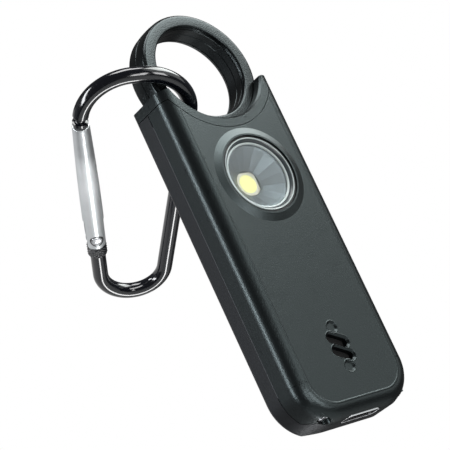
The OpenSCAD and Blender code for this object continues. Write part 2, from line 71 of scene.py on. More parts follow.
class Slot(str, Enum):
    """Material slots of the record that the pieces stand in."""

    COVER = "cover_plastic"
    REAR = "rear_plastic"
    RING = "ring_plastic"
    LENS = "clear_lens"
    REFLECTOR = "satin_reflector"
    CHIP = "led_ceramic"
    PHOSPHOR = "led_phosphor"
    STEEL = "plated_steel"
    BLACK = "black_plastic"
    BRASS = "contact_brass"
    CLIP = "clip_black"
    GATE = "gate_silver"


class Wrap(Enum):
    """How a grid of points closes on itself."""

    NONE = 0
    AROUND = 1
    BOTH = 2


# Grids of points


@dataclass
class Grid:
    """A surface as a grid of points: rows run along it, columns run round it.

    Args:
        points: array of rows x columns x 3, in millimetres.
        wrap: whether the columns, or rows and columns, close on themselves.
    """

    points: np.ndarray
    wrap: Wrap = Wrap.AROUND

    def faces(self, first: int) -> np.ndarray:
        """Four corner indices per cell, counted from first.

        Args:
            first: index of the grid's first point in its mesh.

        Returns:
            Array of cells x 4.
        """
        rows, cols = self.points.shape[:2]
        index = first + np.arange(rows * cols).reshape(rows, cols)
        if self.wrap is not Wrap.NONE:
            index = np.concatenate([index, index[:, :1]], axis=1)
        if self.wrap is Wrap.BOTH:
            index = np.concatenate([index, index[:1]], axis=0)
        cells = [index[:-1, :-1], index[:-1, 1:], index[1:, 1:], index[1:, :-1]]
        return np.stack([c.ravel() for c in cells], axis=1)


@dataclass(frozen=True)
class Axes:
    """A local frame: an origin and three unit directions, as rows."""

    origin: np.ndarray
    rows: np.ndarray

    def place(self, local: np.ndarray) -> np.ndarray:
        """Part-frame points of local points (origin plus each coordinate along its row)."""
        return self.origin + local @ self.rows

    def inside(self, origin: Sequence[float], turn_z: float = 0.0) -> "Axes":
        """The same frame moved to a local origin and then turned about its third row.

        Args:
            origin: local coordinates of the new origin.
            turn_z: turn in radians.

        Returns:
            The new frame.
        """
        c, s = math.cos(turn_z), math.sin(turn_z)
        turn = np.array([[c, s, 0.0], [-s, c, 0.0], [0.0, 0.0, 1.0]])
        return Axes(self.place(np.asarray(origin, float)), turn @ self.rows)


def facing_front(x: float, z: float) -> Axes:
    """Frame for shapes turned about a line along Y: rows are X, Z and Y."""
    return Axes(np.array([x, 0.0, z]), np.array([[1.0, 0, 0], [0, 0, 1.0], [0, 1.0, 0]]))


def turned(axes: Axes, profile: np.ndarray, steps: int = 96, wrap: Wrap = Wrap.AROUND) -> Grid:
    """Surface of revolution: radius and height of a profile carried round the third row.

    Args:
        axes: frame whose third row is the axis of turning.
        profile: array of n x 2, radius and height.
        steps: columns round the axis.
        wrap: BOTH for a closed profile that doesn't meet the axis.

    Returns:
        The grid.
    """
    angle = np.linspace(0.0, TURN, steps, endpoint=False)
    r, h = profile[:, :1], profile[:, 1:]
    height = np.broadcast_to(h, (len(profile), steps))
    return Grid(axes.place(np.stack([r * np.cos(angle), r * np.sin(angle), height], axis=-1)), wrap)


def swept(path: np.ndarray, across: np.ndarray, radius: np.ndarray, steps: int) -> np.ndarray:
    """Round bar along a path: at each point a circle in the plane of across and its cross product.

    Args:
        path: array of n x 3, the middle line.
        across: array of n x 3, unit directions square to the path.
        radius: array of n radii.
        steps: columns round the bar.

    Returns:
        Array of n x steps x 3.
    """
    along = np.gradient(path, axis=0)
    along /= np.linalg.norm(along, axis=1, keepdims=True)
    side = np.cross(along, across)
    angle = np.linspace(0.0, TURN, steps, endpoint=False)[None, :, None]
    ring = np.cos(angle) * across[:, None] + np.sin(angle) * side[:, None]
    return path[:, None] + radius[:, None, None] * ring


def closed(tube: np.ndarray) -> np.ndarray:
    """A tube of rows x columns x 3 points with the middle of its first and last row as end caps."""
    ends = np.repeat(tube[[0, -1]].mean(axis=1, keepdims=True), tube.shape[1], axis=1)
    return np.concatenate([ends[:1], tube, ends[1:]])


def upright_bar(x: float, y: float, half: Pair, z: Pair) -> Grid:
    """Closed square bar along Z: a square of four corners at two heights, and its end caps.

    Args:
        x: middle of the bar.
        y: middle of the bar.
        half: half its width in X and in Y.
        z: its lower and upper end.

    Returns:
        The grid.
    """
    flat = np.broadcast_to(SQUARE * half + [x, y], (2, 4, 2))
    height = np.broadcast_to(np.reshape(z, (2, 1, 1)), (2, 4, 1))
    return Grid(closed(np.concatenate([flat, height], axis=-1)))


def arc(cx: float, cy: float, r: float, start: float, end: float, count: int) -> np.ndarray:
    """Points on a circle in the plane, from one angle to another in degrees."""
    a = np.radians(np.linspace(start, end, count))
    return np.stack([cx + r * np.cos(a), cy + r * np.sin(a)], axis=1)


def joined(*parts: Sequence) -> np.ndarray:
    """One profile or path out of several pieces, in order."""
    return np.concatenate([np.atleast_2d(np.asarray(p, float)) for p in parts], axis=0)


# Shader building


class Nodes:
    """A node tree, with short calls to add and link nodes."""

    def __init__(self, tree: bpy.types.NodeTree) -> None:
        """Takes the tree that the nodes go into."""
        self.tree = tree

    def feed(self, made: bpy.types.Node, inputs: dict) -> bpy.types.Node:
        """Sets or links a node's inputs.

        Args:
            made: the node.
            inputs: socket names (underscores for spaces) or numbers, each with a value or an output.

        Returns:
            The same node.
        """
        for key, value in inputs.items():
            socket = made.inputs[key.replace("_", " ") if isinstance(key, str) else key]
            if isinstance(value, bpy.types.NodeSocket):
                self.tree.links.new(value, socket)
            else:
                socket.default_value = value
        return made

    def node(self, kind: str, **inputs: object) -> bpy.types.Node:
        """Adds a node of one of Blender's types and feeds its inputs by name."""
        return self.feed(self.tree.nodes.new(kind), inputs)

    def math(self, operation: str, a: object, b: object) -> bpy.types.NodeSocket:
        """Adds a sum, product or the like.

        Args:
            operation: Blender's name of it.
            a: first value or output.
            b: second value or output.

        Returns:
            The output.
        """
        made = self.tree.nodes.new("ShaderNodeMath")
        made.operation = operation
        return self.feed(made, {0: a, 1: b}).outputs[0]

    def span(self, value: bpy.types.NodeSocket, low: float, high: float) -> bpy.types.NodeSocket:
        """A value of 0 to 1 stretched to low to high."""
        return self.node("ShaderNodeMapRange", Value=value, To_Min=low, To_Max=high).outputs["Result"]


class Shader(Nodes):
    """A material's node tree that ends in one surface shader."""

    def __init__(self, name: str) -> None:
        """Makes a node material with nothing but its output and object coordinates.

        Args:
            name: the material's name.
        """
        self.material = bpy.data.materials.new(name)
        self.material.use_nodes = True
        super().__init__(self.material.node_tree)
        self.tree.nodes.clear()
        self.out = self.tree.nodes.new("ShaderNodeOutputMaterial")
        self.coord = self.tree.nodes.new("ShaderNodeTexCoord").outputs["Object"]

    def effect(self, group: bpy.types.NodeTree, **inputs: object) -> bpy.types.Node:
        """Places a shared effect and feeds its inputs by name.

        Args:
            group: the effect's node group.
            inputs: socket names (underscores for spaces) with values or outputs.

        Returns:
            The group node.
        """
        made = self.tree.nodes.new("ShaderNodeGroup")
        made.node_tree = group
        return self.feed(made, inputs)

    def blend(self, factor: bpy.types.NodeSocket, a: Colour, b: Colour) -> bpy.types.NodeSocket:
        """Colour that goes from one to another.

        Args:
            factor: share of the second colour.
            a: first colour.
            b: second colour.

        Returns:
            The colour's output.
        """
        mix = self.tree.nodes.new("ShaderNodeMix")
        mix.data_type = "RGBA"
        return self.feed(mix, {"Factor": factor, "A": (*a, 1.0), "B": (*b, 1.0)}).outputs["Result"]

    def bump(self, height: bpy.types.NodeSocket, depth_mm: float) -> bpy.types.NodeSocket:
        """Normal of a height of 0 to 1 that is depth_mm deep."""
        return self.node("ShaderNodeBump", Height=height, Distance=depth_mm * MM).outputs["Normal"]

    def finish(self, **inputs: object) -> bpy.types.Material:
        """Adds the Principled shader.

        Args:
            inputs: its socket names (underscores for spaces) with values or outputs.

        Returns:
            The finished material.
        """
        shader = self.node("ShaderNodeBsdfPrincipled", **inputs)
        self.tree.links.new(shader.outputs["BSDF"], self.out.inputs["Surface"])
        return self.material


class EffectTree(Nodes):
    """A shader node group with a vector input, number inputs and number outputs."""

    def __init__(self, name: str, inputs: dict[str, float], outputs: Sequence[str]) -> None:
        """Makes the group and its sockets.

        Args:
            name: the group's name.
            inputs: number inputs with their plain values.
            outputs: names of the number outputs.
        """
        super().__init__(bpy.data.node_groups.new(name, "ShaderNodeTree"))
        sockets = self.tree.interface
        sockets.new_socket("Vector", in_out="INPUT", socket_type="NodeSocketVector")
        for key, value in inputs.items():
            sockets.new_socket(key, in_out="INPUT", socket_type="NodeSocketFloat").default_value = value
        for key in outputs:
            sockets.new_socket(key, in_out="OUTPUT", socket_type="NodeSocketFloat")
        self.given = self.tree.nodes.new("NodeGroupInput").outputs

    def giving(self, **outputs: bpy.types.NodeSocket) -> bpy.types.NodeTree:
        """The finished group, with its outputs linked."""
        self.feed(self.tree.nodes.new("NodeGroupOutput"), outputs)
        return self.tree


class Effects:
    """Shader effects that several finishes share, each built once."""

    @staticmethod
    @cache
    def grain() -> bpy.types.NodeTree:
        """Fine moulded grain: its height is noise plus the distance in cells, its tone is broad noise.

        Returns:
            The node group.
        """
        group = EffectTree("moulded_grain", {"Per Metre": 4000.0}, ["Height", "Tone"])
        place, scale = group.given["Vector"], group.given["Per Metre"]
        fine = group.node("ShaderNodeTexNoise", Vector=place, Scale=scale, Detail=2.0)
        cells = group.node("ShaderNodeTexVoronoi", Vector=place, Scale=scale, Randomness=1.0)
        twentieth = group.math("MULTIPLY", scale, 0.05)
        broad = group.node("ShaderNodeTexNoise", Vector=place, Scale=twentieth, Detail=3.0)
        height = group.math("ADD", fine.outputs["Fac"], cells.outputs["Distance"])
        return group.giving(Height=height, Tone=broad.outputs["Fac"])

    @staticmethod
    @cache
    def scuffs() -> bpy.types.NodeTree:
        """Faint handling marks: stretched noise cut to thin streaks, as a mask.

        Returns:
            The node group.
        """
        group = EffectTree("handling_scuffs", {"Per Metre": 300.0, "Amount": 0.5}, ["Mask"])
        place, turn, stretch = group.given["Vector"], (0.5, 0.7, 0.4), (1.0, 9.0, 2.0)
        warp = group.node("ShaderNodeMapping", Vector=place, Rotation=turn, Scale=stretch).outputs["Vector"]
        noise = group.node("ShaderNodeTexNoise", Vector=warp, Scale=group.given["Per Metre"], Detail=5.0)
        cut = group.node("ShaderNodeMapRange", Value=noise.outputs["Fac"], From_Min=0.58, From_Max=0.75)
        return group.giving(Mask=group.math("MULTIPLY", cut.outputs["Result"], group.given["Amount"]))

    @staticmethod
    @cache
    def streaks() -> bpy.types.NodeTree:
        """Drawing or rolling lines: noise stretched along the third axis of its vector.

        Returns:
            The node group.
        """
        group = EffectTree("drawn_streaks", {"Per Metre": 2500.0}, ["Height", "Tone"])
        place = group.given["Vector"]
        warp = group.node("ShaderNodeMapping", Vector=place, Scale=(1.0, 1.0, 0.02)).outputs["Vector"]
        fine = group.node("ShaderNodeTexNoise", Vector=warp, Scale=group.given["Per Metre"], Detail=3.0)
        broad = group.node("ShaderNodeTexNoise", Vector=place, Scale=220.0)
        return group.giving(Height=fine.outputs["Fac"], Tone=broad.outputs["Fac"])


# Finishes


@dataclass(frozen=True)
class MouldedPlastic:
    """Moulded plastic: a fine grain in the surface and a slight drift of tone."""

    name: str
    dark: Colour
    light: Colour
    rough: float
    grain_mm: float = 0.25
    depth_mm: float = 0.012
    scuff: float = 0.5
    sheen: Colour = (1.0, 1.0, 1.0)
    gloss: float = 0.5
    polish: float = 0.12

    def material(self) -> bpy.types.Material:
        """Builds the finish.

        Returns:
            Its node material.
        """
        s = Shader(self.name)
        grain = s.effect(Effects.grain(), Vector=s.coord, Per_Metre=1.0 / (self.grain_mm * MM))
        marks = s.effect(Effects.scuffs(), Vector=s.coord, Amount=self.scuff)
        return s.finish(
            Base_Color=s.blend(grain.outputs["Tone"], self.dark, self.light),
            Roughness=s.span(marks.outputs["Mask"], self.rough, self.rough - self.polish),
            Normal=s.bump(grain.outputs["Height"], self.depth_mm),
            Specular_IOR_Level=self.gloss,
            Specular_Tint=(*self.sheen, 1.0),
        )


@dataclass(frozen=True)
class GlossCoat:
    """Coloured gloss coat on metal: smooth, with fine handling marks and a clear top."""

    name: str
    dark: Colour
    light: Colour
    rough: float = 0.14
    worn: float = 0.2
    depth_mm: float = 0.0006

    def material(self) -> bpy.types.Material:
        """Builds the finish.

        Returns:
            Its node material.
        """
        s = Shader(self.name)
        grain = s.effect(Effects.grain(), Vector=s.coord, Per_Metre=900.0)
        marks = s.effect(Effects.scuffs(), Vector=s.coord, Per_Metre=420.0, Amount=0.7)
        return s.finish(
            Base_Color=s.blend(marks.outputs["Mask"], self.dark, self.light),
            Roughness=s.span(marks.outputs["Mask"], self.rough, self.rough + self.worn),
            Normal=s.bump(grain.outputs["Height"], self.depth_mm),
            Specular_IOR_Level=0.45,
            Coat_Weight=0.9,
            Coat_Roughness=0.06,
        )


@dataclass(frozen=True)
class DrawnMetal:
    """Bare metal with fine drawing lines along one direction."""

    name: str
    dark: Colour
    light: Colour
    rough: float = 0.28
    turn: Triple = (0.0, 0.0, 0.0)
    depth_mm: float = 0.004
    metal: float = 1.0
    worn: float = 0.15

    def material(self) -> bpy.types.Material:
        """Builds the finish.

        Returns:
            Its node material.
        """
        s = Shader(self.name)
        along = s.node("ShaderNodeMapping", Vector=s.coord, Rotation=self.turn).outputs["Vector"]
        lines = s.effect(Effects.streaks(), Vector=along)
        marks = s.effect(Effects.scuffs(), Vector=s.coord, Per_Metre=500.0, Amount=0.6)
        return s.finish(
            Base_Color=s.blend(lines.outputs["Tone"], self.dark, self.light),
            Roughness=s.span(marks.outputs["Mask"], self.rough, self.rough + self.worn),
            Normal=s.bump(lines.outputs["Height"], self.depth_mm),
            Metallic=self.metal,
        )


@dataclass(frozen=True)
class ClearPlastic:
    """Clear moulded plastic with faint handling marks."""

    name: str
    tint: Colour
    rough: Pair = (0.02, 0.1)
    bend: float = 1.46

    def material(self) -> bpy.types.Material:
        """Builds the finish.

        Returns:
            Its node material.
        """
        s = Shader(self.name)
        marks = s.effect(Effects.scuffs(), Vector=s.coord, Per_Metre=260.0, Amount=0.35)
        rough = s.span(marks.outputs["Mask"], *self.rough)
        return s.finish(Base_Color=(*self.tint, 1.0), Roughness=rough, Transmission_Weight=1.0, IOR=self.bend)


@dataclass(frozen=True)
class WovenMesh:
    """Fine woven cloth: two crossed waves as threads."""

    name: str
    dark: Colour
    light: Colour
    thread_mm: float = 0.22
    depth_mm: float = 0.05

    def material(self) -> bpy.types.Material:
        """Builds the finish.

        Returns:
            Its node material.
        """
        s = Shader(self.name)
        per_metre = 1.0 / (self.thread_mm * MM) / TURN
        warp = s.node("ShaderNodeTexWave", Vector=s.coord, Scale=per_metre)
        weft = s.node("ShaderNodeTexWave", Vector=s.coord, Scale=per_metre)
        weft.bands_direction = "Z"
        both = s.math("MULTIPLY", warp.outputs["Fac"], weft.outputs["Fac"])
        colour = s.blend(both, self.dark, self.light)
        return s.finish(Base_Color=colour, Roughness=0.8, Normal=s.bump(both, self.depth_mm))


class Finish(Enum):
    """Every finish of the alarm."""

    COVER = MouldedPlastic(
        "cover_charcoal",
        (0.0016, 0.0019, 0.0021),
        (0.0032, 0.0037, 0.004),
        0.33,
        grain_mm=0.3,
        depth_mm=0.014,
        sheen=(0.80, 0.97, 1.0),
        gloss=0.6,
    )
    REAR = replace(
        COVER,
        name="rear_charcoal",
        dark=(0.0018, 0.002, 0.0024),
        light=(0.0034, 0.0038, 0.0046),
        rough=0.35,
        depth_mm=0.01,
        scuff=0.2,
        sheen=(0.88, 0.93, 1.0),
    )
    SEAT = replace(COVER, name="seat_charcoal", rough=0.32)
    RING = replace(
        COVER, name="ring_charcoal", rough=0.25, depth_mm=0.012, sheen=(0.82, 0.96, 1.0), gloss=0.44
    )
    # Pale grey painted as the highlight along the joint between the covers.
    SEAM_HIGHLIGHT = MouldedPlastic("seam_painted_highlight", (0.06, 0.065, 0.072), (0.085, 0.09, 0.1), 0.4, 0.3, 0.004)
    LENS = ClearPlastic("lens_clear", (0.97, 0.985, 1.0))
    # Dark colour painted as the shade on the lens rim's inner slope.
    LENS_SHADE = MouldedPlastic(
        "lens_rim_painted_shade", (0.045, 0.054, 0.058), (0.07, 0.08, 0.085), 0.2, 0.2, 0.002, 0.4, gloss=0.6
    )
    # Pale colour painted as the highlight on the lens rim's raised bead and lip.
    LENS_HIGHLIGHT = MouldedPlastic("lens_painted_highlight", (0.40, 0.45, 0.45), (0.50, 0.56, 0.56), 0.25, 0.3, 0.004, 0.4)
    RUBBER = MouldedPlastic("seal_rubber", (0.008, 0.008, 0.009), (0.016, 0.016, 0.018), 0.65, 0.15)
    REFLECTOR = DrawnMetal("reflector_satin", (0.12, 0.15, 0.16), (0.16, 0.195, 0.205), 0.5)
    CHIP = MouldedPlastic("chip_ceramic", (0.56, 0.55, 0.42), (0.68, 0.66, 0.50), 0.5, 0.1, 0.004)
    PHOSPHOR = MouldedPlastic("phosphor_gel", (0.97, 0.93, 0.28), (0.99, 0.96, 0.38), 0.35, 0.12, 0.006)
    BOARD = MouldedPlastic("board_mask", (0.01, 0.05, 0.025), (0.015, 0.085, 0.04), 0.3, 0.4)
    STEEL = DrawnMetal("plated_steel", (0.60, 0.61, 0.63), (0.74, 0.75, 0.77), 0.24)
    # Pale, mostly non-metal finish painted as the socket rim's highlight, so it reads bright from every side.
    MOUTH = DrawnMetal("socket_rim_painted_highlight", (0.70, 0.71, 0.73), (0.85, 0.86, 0.88), 0.3, metal=0.3)
    SCREW = DrawnMetal("screw_steel", (0.34, 0.35, 0.37), (0.5, 0.51, 0.53), 0.3)
    BLACK = MouldedPlastic("black_moulding", (0.01, 0.01, 0.011), (0.02, 0.02, 0.022), 0.4, 0.2)
    FOIL = DrawnMetal("battery_foil", (0.52, 0.53, 0.55), (0.66, 0.67, 0.69), 0.4)
    MESH = WovenMesh("sound_mesh_cloth", (0.0008, 0.0008, 0.0009), (0.004, 0.004, 0.0044))
    GOLD = DrawnMetal("contact_gilt", (0.68, 0.46, 0.14), (0.85, 0.62, 0.24), 0.25)
    CLIP = GlossCoat("clip_black", (0.003, 0.0036, 0.006), (0.009, 0.010, 0.014))
    GATE = DrawnMetal(
        "gate_silver", (0.60, 0.63, 0.64), (0.80, 0.82, 0.84), 0.3, (0.65, 0.35, 0.4), 0.006, 0.78
    )

    @cache
    def material(self) -> bpy.types.Material:
        """The finish's material, made when first asked for."""
        return self.value.material()


# Pieces


def make_piece(
    name: str,
    grids: Sequence[Grid],
    finish: Finish,
    body: Body,
    slot: Slot,
    stands_for: Sequence[str] = (),
    crease: float = 32.0,
) -> None:
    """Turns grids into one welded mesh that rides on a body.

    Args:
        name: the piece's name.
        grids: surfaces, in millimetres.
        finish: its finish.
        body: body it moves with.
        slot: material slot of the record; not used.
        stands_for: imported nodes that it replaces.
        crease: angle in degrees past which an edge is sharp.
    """
    starts = np.cumsum([0] + [g.points.shape[0] * g.points.shape[1] for g in grids])
    points = np.concatenate([g.points.reshape(-1, 3) for g in grids]) * MM
    faces = np.concatenate([g.faces(int(s)) for g, s in zip(grids, starts)])
    mesh = bpy.data.meshes.new(name)
    mesh.from_pydata(points.tolist(), [], faces.tolist())
    work = bmesh.new()
    work.from_mesh(mesh)
    bmesh.ops.remove_doubles(work, verts=work.verts, dist=WELD_M)
    bmesh.ops.dissolve_degenerate(work, edges=work.edges, dist=SLIVER_M)
    bmesh.ops.recalc_face_normals(work, faces=work.faces)
    work.to_mesh(mesh)
    work.free()
    mesh.polygons.foreach_set("use_smooth", np.ones(len(mesh.polygons), dtype=bool))
    mesh.set_sharp_from_angle(angle=math.radians(crease))
    mesh.materials.append(finish.material())
    made = bpy.data.objects.new(name, mesh)
    bpy.context.scene.collection.objects.link(made)
    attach(made, body.value)
    if stands_for:
        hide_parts(*stands_for)
    LOG.info("piece %s: %d faces on %s", name, len(mesh.polygons), body.value)


def dress_node(node: str, finish: Finish) -> None:
    """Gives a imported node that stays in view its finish.

    Args:
        node: the node's name.
        finish: its finish.
    """
    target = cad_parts[node]
    target.data.materials.clear()
    target.data.materials.append(finish.material())
    LOG.info("node %s: %s", node, finish.value.name)


@dataclass
class Housing:
    """Covers, ring seat, the beads on the covers and the painted highlight along their joint."""

    face_x: float = 11.4
    face_y: float = -5.3
    face_z: float = 2.85
    face_r: float = 5.4
    face_top: float = 66.2
    side_x: float = 14.25
    seam_y: float = 0.93
    seam_w: float = 0.13
    seam_half: float = 0.12
    seam_under: float = 0.01
    bead_w: float = 0.5
    bead_h: float = 0.06
    bead_sink: float = 0.015
    bead_foot: float = 0.06
    slot_run: float = 2.9
    slot_r: float = 1.36
    slot_slant: float = 28.0
    slot_wrap: float = 145.0
    slot_z: Pair = (14.45, 11.75)
    dimple_r: float = 1.33
    dimple_z: Pair = (17.15, 9.05)
    dimple_sweep: Pair = (140.0, 499.0)
    rim_w: float = 0.26
    rim_h: float = 0.06

    def build(self) -> None:
        """Dresses the covers and adds their beads and the painted highlight strips along their joint."""
        dress_node("front_cover", Finish.COVER)
        dress_node("rear_cover", Finish.REAR)
        dress_node("ring_seat", Finish.SEAT)
        self.face_bead()
        self.slot_beads()
        self.seam_highlight_strips()

    def bead(self, path: np.ndarray, wide: float, high: float) -> Grid:
        """Low bead on the flat front: an arch square to the path, sunk a little, closed at both ends.

        Args:
            path: array of n x 2, X and Z of the middle line.
            wide: width of the arch.
            high: height of the arch.

        Returns:
            The grid.
        """
        along = np.gradient(path, axis=0)
        along /= np.linalg.norm(along, axis=1, keepdims=True)
        out = np.stack([along[:, 1], -along[:, 0]], axis=1)
        t = np.linspace(-1.0, 1.0, 13)
        flat = path[:, None] + out[:, None] * (t * wide / 2)[None, :, None]
        rise = high * np.cos(t * math.pi / 2) - self.bead_sink
        y = np.broadcast_to(self.face_y - rise, flat.shape[:2])
        top = np.stack([flat[..., 0], y, flat[..., 1]], axis=-1)
        foot = top[:, [-1, 0]].copy()
        foot[..., 1] = self.face_y + self.bead_foot
        return Grid(closed(np.concatenate([top, foot], axis=1)))

    def face_bead(self) -> None:
        """Bead that bounds the flat front: down one side, round the end and up the other."""
        x, r, bend = self.face_x, self.face_r, self.face_z + self.face_r
        path = joined(
            np.stack([np.full(40, -x), np.linspace(self.face_top, bend, 40)], axis=1),
            arc(r - x, bend, r, 180, 270, 40)[1:],
            arc(x - r, bend, r, 270, 360, 40),
            np.stack([np.full(40, x), np.linspace(bend, self.face_top, 40)], axis=1)[1:],
        )
        bead = self.bead(path, self.bead_w, self.bead_h)
        make_piece("face_bead", [bead], Finish.COVER, Body.HOUSING, Slot.COVER)

    def slot_beads(self) -> None:
        """Beads round the outer sides and ends of both sound slots, and round the two dimples."""
        half, r, wrap = self.slot_run / 2, self.slot_r, self.slot_wrap
        open_way = joined(arc(-half, 0.0, r, 90 + wrap, 90, 30), arc(half, 0.0, r, 90, 90 - wrap, 30))
        slant = math.radians(self.slot_slant)
        lean = np.array([[math.cos(slant), -math.sin(slant)], [math.sin(slant), math.cos(slant)]])
        upper = open_way @ lean + [0.0, self.slot_z[0]]
        lower = -(open_way @ lean) + [0.0, self.slot_z[1]]
        dimples = [arc(0.0, z, self.dimple_r, *self.dimple_sweep, 60) for z in self.dimple_z]
        grids = [self.bead(way, self.rim_w, self.rim_h) for way in (upper, lower, *dimples)]
        make_piece("slot_beads", grids, Finish.COVER, Body.HOUSING, Slot.COVER)

    def seam_highlight_strips(self) -> None:
        """Painted highlight along the joint between the covers on each long side: a pale thin bar just under
        the skin, standing in for light caught on the joint's edge.
        """
        side = self.side_x - self.seam_half - self.seam_under
        half, z = (self.seam_half, self.seam_w / 2), (self.face_z + self.face_r, self.face_top)
        grids = [upright_bar(x, self.seam_y, half, z) for x in (-side, side)]
        # Pale bars painted as the highlight along the joint.
        make_piece("seam_highlight_strips", grids, Finish.SEAM_HIGHLIGHT, Body.HOUSING, Slot.REAR)


@dataclass
class BottomEnd:
    """End screws, and the charging socket's contacts, a black liner painted as shade inside it, and its rim
    with a painted highlight.
    """

    screw_x: float = 9.45
    screw_y: float = -2.7
    screw_seat_z: float = 1.9
    screw_r: float = 0.6
    screw_len: float = 3.6
    head_r: float = 1.05
    head_h: float = 0.7
    head_edge: float = 0.12
    head_dome: float = 0.12
    drive_turn: float = 0.5
    drive_half: float = 0.2
    drive_wall: float = 0.06
    drive_deep: float = 0.32
    drive_len: float = 0.62
    drive_taper: float = 0.6
    plate_t: float = 0.7
    plate_y: float = -1.98
    plate_z: float = 0.95
    contacts: int = 12
    contact_pitch: float = 0.5
    contact_half: Pair = (0.14, 0.03)
    contact_run: Pair = (0.3, 3.9)
    mouth_w: float = 8.34
    mouth_h: float = 2.66
    mouth_r: float = 0.9
    # Set-out and heights of the black liner painted as shade inside the socket.
    shade_liner_out: Pair = (-0.02, -0.12)
    shade_liner_z: Pair = (0.4, 6.2)
    roll_mid: float = 0.15
    roll_r: float = 0.14

    def build(self) -> None:
        """Dresses the socket and adds the screws, contacts, painted-shade liner and painted-highlight rim."""
        dress_node("usb_shell", Finish.STEEL)
        dress_node("usb_tongue", Finish.BLACK)
        self.screws()
        self.socket_contacts()
        self.socket_shade_liner()
        self.socket_rim()

    def screw_head(self, x: float) -> list[Grid]:
        """Domed head with a cross recess, and its shank.

        The top is a polar grid; its height is a shallow dome less a cross-shaped pit,
        a ramp on the lesser of the two distances from the arms.

        Args:
            x: place of the screw.

        Returns:
            The head's top and the turned side with the shank.
        """
        axes = Axes(np.array([x, self.screw_y, self.screw_seat_z]), np.diag([1.0, -1.0, -1.0]))
        flat_r, edge = self.head_r - self.head_edge, self.head_edge
        r = np.linspace(0.0, flat_r, 40)[:, None]
        a = np.linspace(0.0, TURN, 128, endpoint=False)[None, :]
        u, v = r * np.cos(a + self.drive_turn), r * np.sin(a + self.drive_turn)
        narrowing = self.drive_taper * np.clip(r - self.drive_len, 0.0, None)
        arm = np.minimum(np.abs(u), np.abs(v)) + narrowing
        pit = self.drive_deep * np.clip((self.drive_half - arm) / self.drive_wall, 0.0, 1.0)
        h = self.head_h - self.head_dome * (r / self.head_r) ** 2 - pit
        top = Grid(axes.place(np.stack([r * np.cos(a), r * np.sin(a), h], axis=-1)))
        rim = self.head_h - self.head_dome * (flat_r / self.head_r) ** 2
        profile = joined(
            [(flat_r, rim)],
            arc(flat_r, rim - edge, edge, 90, 0, 6),
            [(self.head_r, 0.0), (self.screw_r, 0.0)],
            [(self.screw_r, -self.screw_len), (0.0, -self.screw_len)],
        )
        return [top, turned(axes, profile, a.size)]

    def screws(self) -> None:
        """Both end screws as one piece."""
        grids = self.screw_head(-self.screw_x) + self.screw_head(self.screw_x)
        make_piece("end_screw_pair", grids, Finish.SCREW, Body.HOUSING, Slot.STEEL, ["end_screws"])

    def socket_contacts(self) -> None:
        """Rows of gilt contacts, low bars, on both faces of the socket's plate."""
        places = (np.arange(self.contacts) - (self.contacts - 1) / 2) * self.contact_pitch
        faces = self.plate_y - self.plate_t / 2, self.plate_y + self.plate_t / 2
        z = self.plate_z + self.contact_run[0], self.plate_z + self.contact_run[1]
        bars = [upright_bar(x, y, self.contact_half, z) for y in faces for x in places]
        make_piece("socket_contacts", bars, Finish.GOLD, Body.HOUSING, Slot.BRASS)

    def mouth_band(self, grow: np.ndarray, z: np.ndarray) -> Grid:
        """Closed band round the socket's mouth, out of rounded outlines of four quarter circles.

        Args:
            grow: array of m distances, how far each outline is set out.
            z: array of m heights of the outlines.

        Returns:
            The grid.
        """
        turn = np.radians(np.concatenate([np.linspace(q, q + 90.0, 12) for q in (0, 90, 180, 270)]))
        way = np.stack([np.cos(turn), np.sin(turn)], axis=-1)
        half = np.array([self.mouth_w, self.mouth_h]) / 2 - self.mouth_r
        middle = np.repeat(SQUARE * half, 12, axis=0) + [0.0, self.plate_y]
        flat = middle + way * (self.mouth_r + grow)[:, None, None]
        height = np.broadcast_to(z[:, None, None], flat.shape[:2] + (1,))
        return Grid(np.concatenate([flat, height], axis=-1), Wrap.BOTH)

    def socket_shade_liner(self) -> None:
        """Painted shade inside the socket: a near-black liner just inside the shell, darkening the mouth
        where shade falls.
        """
        (outer, inner), (low, high) = self.shade_liner_out, self.shade_liner_z
        liner = self.mouth_band(np.array([outer, outer, inner, inner]), np.array([low, high, high, low]))
        # Near-black cloth finish used here as painted shade.
        make_piece("socket_shade_liner", [liner], Finish.MESH, Body.HOUSING, Slot.BLACK)

    def socket_rim(self) -> None:
        """Rolled rim of the socket's shell, a round bead carried round the mouth; plated steel whose pale,
        mostly non-metal finish is a painted highlight that keeps it bright from every side.
        """
        a = np.linspace(0.0, TURN, 16, endpoint=False)
        grow, z = self.roll_mid + self.roll_r * np.cos(a), self.roll_mid + self.roll_r * np.sin(a)
        rim = self.mouth_band(grow, z)
        make_piece("socket_rim", [rim], Finish.MOUTH, Body.HOUSING, Slot.STEEL)


